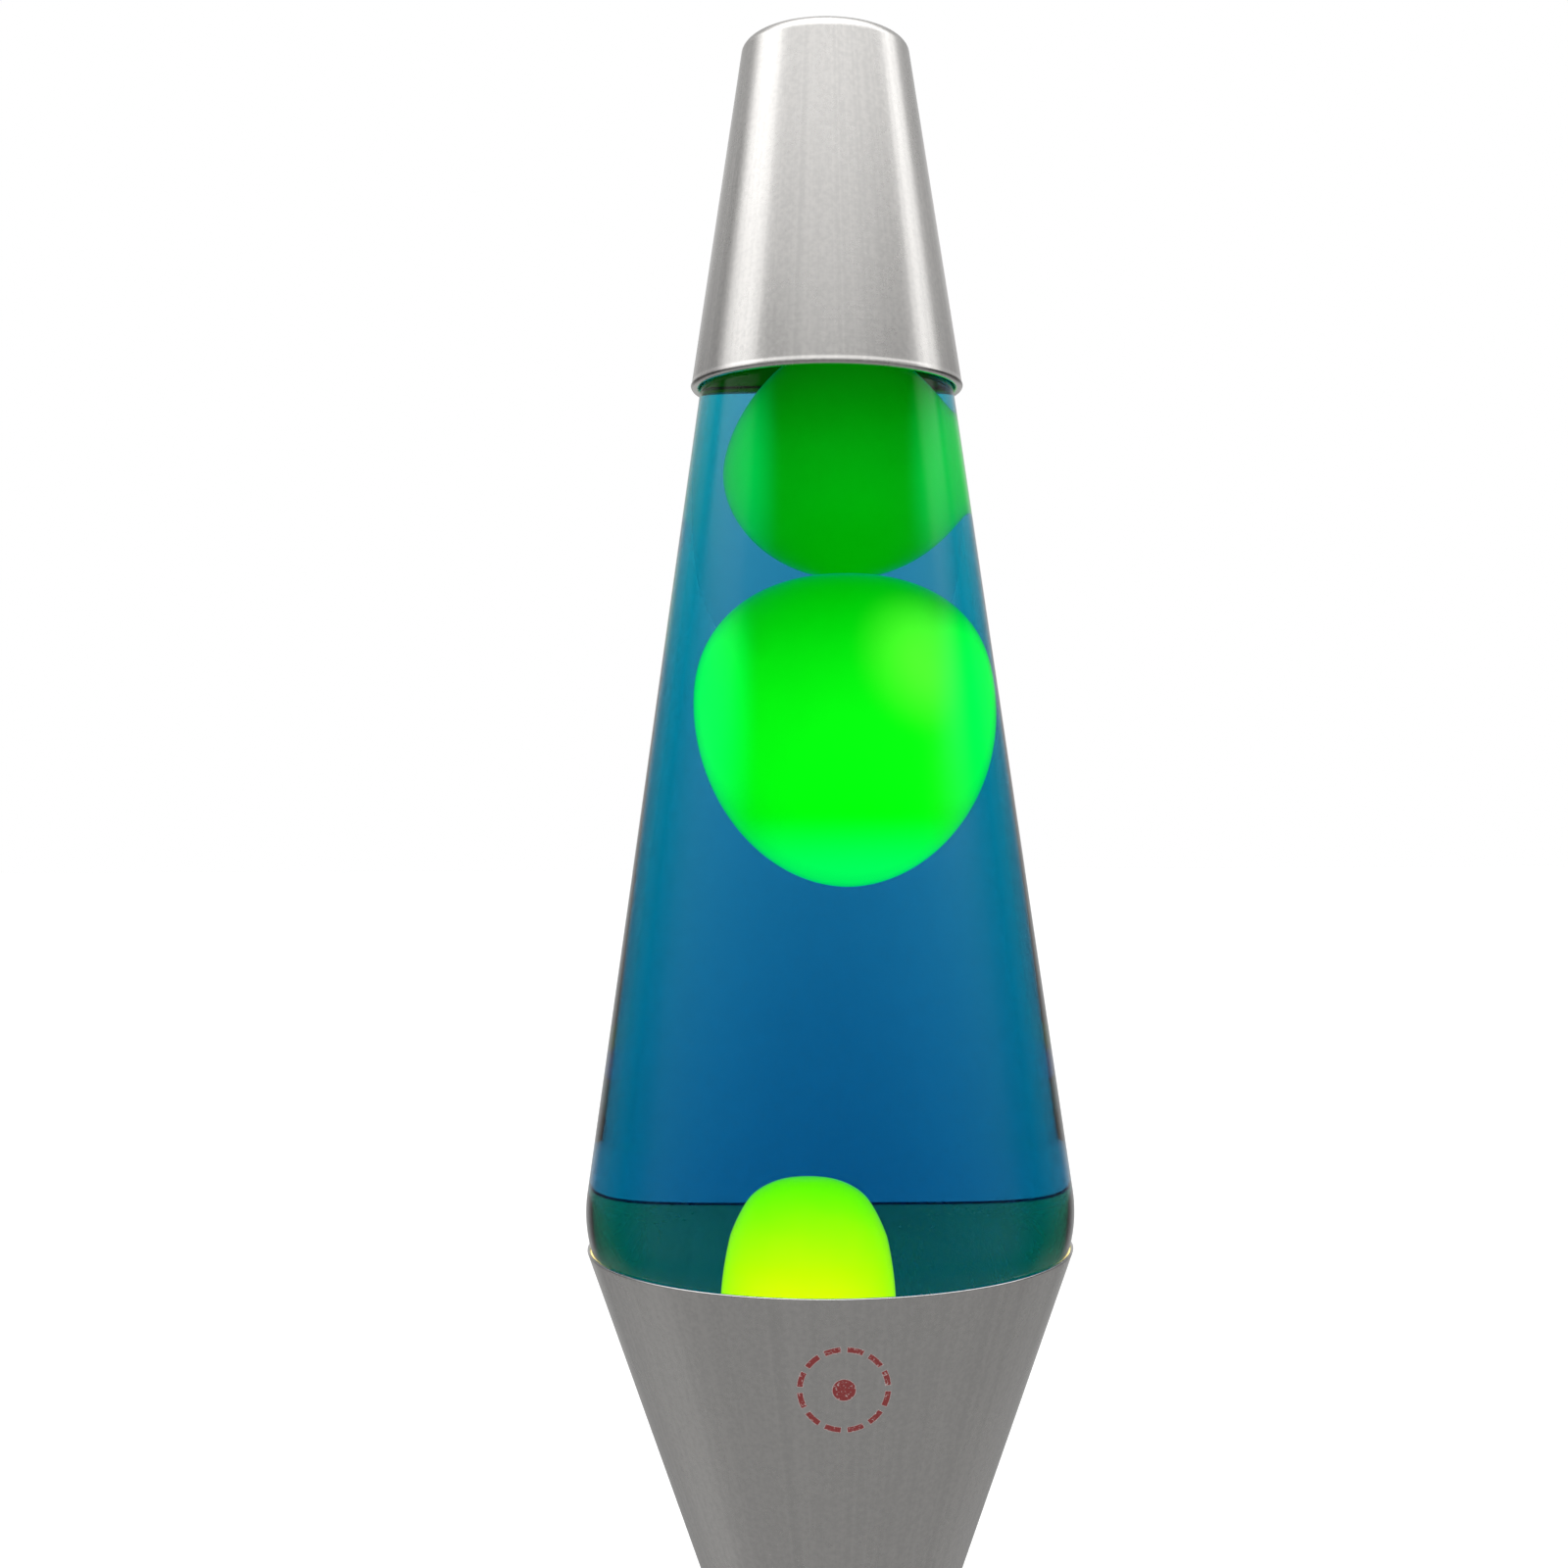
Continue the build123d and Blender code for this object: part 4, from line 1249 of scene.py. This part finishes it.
@dataclass(frozen=True)
class Tent:
    """What mirrors see: levels by direction, each step from one angle to another, in degrees.

    Turn runs from 0 towards the camera to 180 behind the lamp, and rise from the horizon up.
    """

    panels: tuple[Panel, ...] = (
        Panel((-106, -66, 5), (17, 80, 3), 0.95, 0.75),
        Panel((88, 114, 5), (17, 80, 3), 1.15, 0.62),
        Panel((-125, -92, 8), (-60, -26, 6), 0.06, 0.06),
        Panel((68, 98, 12), (12, 17, 4), 0.9, 0.9),
    )
    panel_rise: tuple[float, float] = (24, 34)  # from a panel's low level to its high one
    ahead: tuple[float, ...] = (108, 128, 1, 0)
    overhead: tuple[float, ...] = (23, 36, 0, 1.02)
    table: tuple[float, ...] = (-34, -22, 0.25, 0)
    behind: tuple[float, ...] = (108, 128, 0, 1)
    behind_above: tuple[float, ...] = (10, 20, 0.06, 0.40)
    behind_below: tuple[float, ...] = (-26, -14, 0.22, 0)
    zenith: tuple[float, ...] = (48, 66, 0, 1)
    waist: tuple[float, float, float] = (-20, 20, 6)
    horizon: tuple[float, ...] = (84, 104, 0.22, 0)
    rear: tuple[float, ...] = (142, 162, 0, 0.42)
    least: float = 0.01

    def window(
        self, bench: NodeBench, value: object, low: float, high: float, soft: float
    ) -> bpy.types.NodeSocket:
        """1 between two limits and 0 outside them, with soft edges.

        Args:
            bench: the world's bench.
            value: the value, in degrees.
            low: lower limit.
            high: upper limit.
            soft: half-width of each edge.

        Returns:
            The window.
        """
        rise = bench.ramp(value, low - soft, low + soft)
        return bench.times(rise, bench.ramp(value, high - soft, high + soft, 1, 0))

    def light(self, bench: NodeBench) -> bpy.types.NodeSocket:
        """The level in each direction.

        Args:
            bench: the world's bench.

        Returns:
            The level.
        """
        x, y, z = bench.axes(bench.add("TexCoord").outputs["Generated"])
        turn = bench.times(bench.math("ARCTAN2", x, bench.times(y, -1.0)), math.degrees(1))
        rise = bench.times(bench.math("ARCSINE", z), math.degrees(1))
        off = bench.math("ABSOLUTE", turn)
        front = bench.plus(bench.ramp(rise, *self.overhead), bench.ramp(rise, *self.table))
        back = bench.plus(bench.ramp(rise, *self.behind_above), bench.ramp(rise, *self.behind_below))
        level = bench.plus(bench.ramp(off, *self.horizon), bench.ramp(off, *self.rear))
        panels = [
            bench.times(
                self.window(bench, turn, *panel.turn),
                self.window(bench, rise, *panel.rise),
                bench.ramp(rise, *self.panel_rise, panel.low, panel.high),
            )
            for panel in self.panels
        ]
        return bench.plus(
            bench.times(front, bench.ramp(off, *self.ahead)),
            bench.times(back, bench.ramp(off, *self.behind)),
            bench.times(level, self.window(bench, rise, *self.waist)),
            bench.ramp(rise, *self.zenith),
            *panels,
            self.least,
        )


@dataclass
class Studio:
    """Camera, pale floor and soft light; shiny things mirror a plain tent with tall panels."""

    distance: float = 0.4143
    eye_z: float = 0.220
    lens: float = 48.8
    sensor: float = 36.0
    clip: tuple[float, float] = (0.01, 100.0)
    across: float = -0.0284
    up: float = 0.009
    roll: float = math.radians(0.24)
    floor_size: float = 12.0
    white: float = 1.18
    lamp_size: tuple[float, float] = (0.5, 0.9)
    lamp_place: tuple[float, float, float] = (0.85, -0.55, 0.75)
    lamp_aim: tuple[float, float, float] = (0, 0, 0.18)
    left_power: float = 5.0
    right_power: float = 3.5
    tent: Tent = field(default_factory=Tent)

    def camera(self) -> None:
        """Sets the camera in front of the lamp, level, and slightly rolled."""
        data = bpy.data.cameras.new("camera")
        data.sensor_width = self.sensor
        data.lens = self.lens
        data.shift_x = self.across
        data.shift_y = self.up
        data.clip_start, data.clip_end = self.clip
        stand = bpy.data.objects.new("camera", data)
        stand.matrix_world = (
            Matrix.Translation((0, -self.distance, self.eye_z))
            @ Matrix.Rotation(math.pi / 2, 4, "X")
            @ Matrix.Rotation(-self.roll, 4, "Z")
        )
        bpy.context.scene.collection.objects.link(stand)
        bpy.context.scene.camera = stand

    def floor(self) -> None:
        """Lays a wide pale floor that shiny surfaces don't mirror."""
        mesh = bmesh.new()
        bmesh.ops.create_grid(mesh, x_segments=8, y_segments=8, size=self.floor_size / 2)
        data = bpy.data.meshes.new("studio_floor")
        mesh.to_mesh(data)
        mesh.free()
        coat = Coating("floor_paper")
        paper = coat.noise(coat.placed(), 40, 3)
        coat.set(
            Base_Color=coat.mix(paper, (0.93, 0.93, 0.93, 1), (0.95, 0.95, 0.95, 1)),
            Roughness=0.9,
            Specular_IOR_Level=0.0,
        )
        data.materials.append(coat.material)
        sheet = bpy.data.objects.new("studio_floor", data)
        bpy.context.scene.collection.objects.link(sheet)
        sheet.visible_glossy = False

    def world(self) -> None:
        """White all round, except to mirrors, which see the tent and its panels."""
        world = bpy.data.worlds.new("studio")
        world.use_nodes = True
        bpy.context.scene.world = world
        bench = NodeBench(world.node_tree)
        mirrored = self.tent.light(bench)
        path = bench.add("LightPath")
        solid = bench.math("SUBTRACT", 1.0, path.outputs["Is Transmission Ray"])
        is_mirror = bench.times(path.outputs["Is Glossy Ray"], solid)
        plain = bench.plus(bench.times(path.outputs["Is Diffuse Ray"], self.white - 1.0), 1.0)
        sky = bench.add("Background")
        bench.feed(
            sky.inputs["Strength"],
            bench.plus(
                bench.times(is_mirror, mirrored),
                bench.times(bench.math("SUBTRACT", 1.0, is_mirror), plain),
            ),
        )
        sky.inputs["Color"].default_value = (1, 1, 1, 1)
        bench.feed(bench.add("OutputWorld").inputs["Surface"], sky.outputs[0])

    def lamps(self) -> None:
        """Hangs two soft panels that light matt surfaces and stay out of mirrors."""
        side, front, height = self.lamp_place
        for name, across, power in (
            ("panel_left", -side, self.left_power),
            ("panel_right", side, self.right_power),
        ):
            data = bpy.data.lights.new(name, "AREA")
            data.shape = "RECTANGLE"
            data.size, data.size_y = self.lamp_size
            data.energy = power
            panel = bpy.data.objects.new(name, data)
            place = Vector((across, front, height))
            facing = (Vector(self.lamp_aim) - place).to_track_quat("-Z", "Y")
            panel.matrix_world = Matrix.Translation(place) @ facing.to_matrix().to_4x4()
            bpy.context.scene.collection.objects.link(panel)
            panel.visible_glossy = False
            panel.visible_camera = False
            panel.visible_transmission = False

    def build(self) -> None:
        """Sets up the whole studio."""
        bpy.context.scene.view_settings.view_transform = "Standard"
        self.camera()
        self.floor()
        self.world()
        self.lamps()
        log.info("studio: camera at %.3f m, lens %.1f mm", self.distance, self.lens)


def main() -> None:
    """Builds the lamp in order."""
    logging.basicConfig(level=logging.INFO, format="%(name)s %(message)s")
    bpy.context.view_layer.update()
    for group in (Studio(), Base(), Lampholder(), Wiring(), Bulb(), Globe()):
        group.build()
    WaxBlob(
        node="wax_blob_middle",
        name="middle_wax",
        body="wax_middle",
        low=201.9 * MM,
        widest=237.0 * MM,
        high=261.7 * MM,
        forward=3.0 * MM,
        across=0.3 * MM,
        swell=1.03,
        full_above=2.25,
        full_below=1.95,
        glow=GlowingWax(
            "wax_middle_glow",
            low_z=200 * MM,
            high_z=262 * MM,
            low=(0.0, 1.6, 0.0, 1),
            high=(0.0, 0.62, 0.0, 1),
            # Painted light on the underside.
            under_z=201.9 * MM,
            # Painted light: a warm bright patch.
            warm_at=(17 * MM, -17 * MM, 245 * MM),
            # Painted light on the flanks.
            side_x=2.9 * MM,
            side_r=23.0 * MM,
        ),
    ).build()
    WaxBlob(
        node="wax_blob_top",
        name="top_wax",
        body="wax_top",
        low=261.0 * MM,
        widest=281.5 * MM,
        high=308.0 * MM,
        forward=-6.5 * MM,
        across=-0.1 * MM,
        swell=0.97,
        full_above=1.75,
        full_below=2.0,
        glow=GlowingWax(
            "wax_top_glow",
            low_z=262 * MM,
            high_z=306 * MM,
            low=(0.0, 0.58, 0.0, 1),
            high=(0.0, 0.28, 0.0, 1),
            # Painted light on the flanks.
            side_x=2.5 * MM,
            side_r=15.0 * MM,
            side=(0.0, 0.92, 0.10, 1.0),
        ),
    ).build()
    Crown().build()
    Cap().build()


if __name__ == "__main__":
    main()
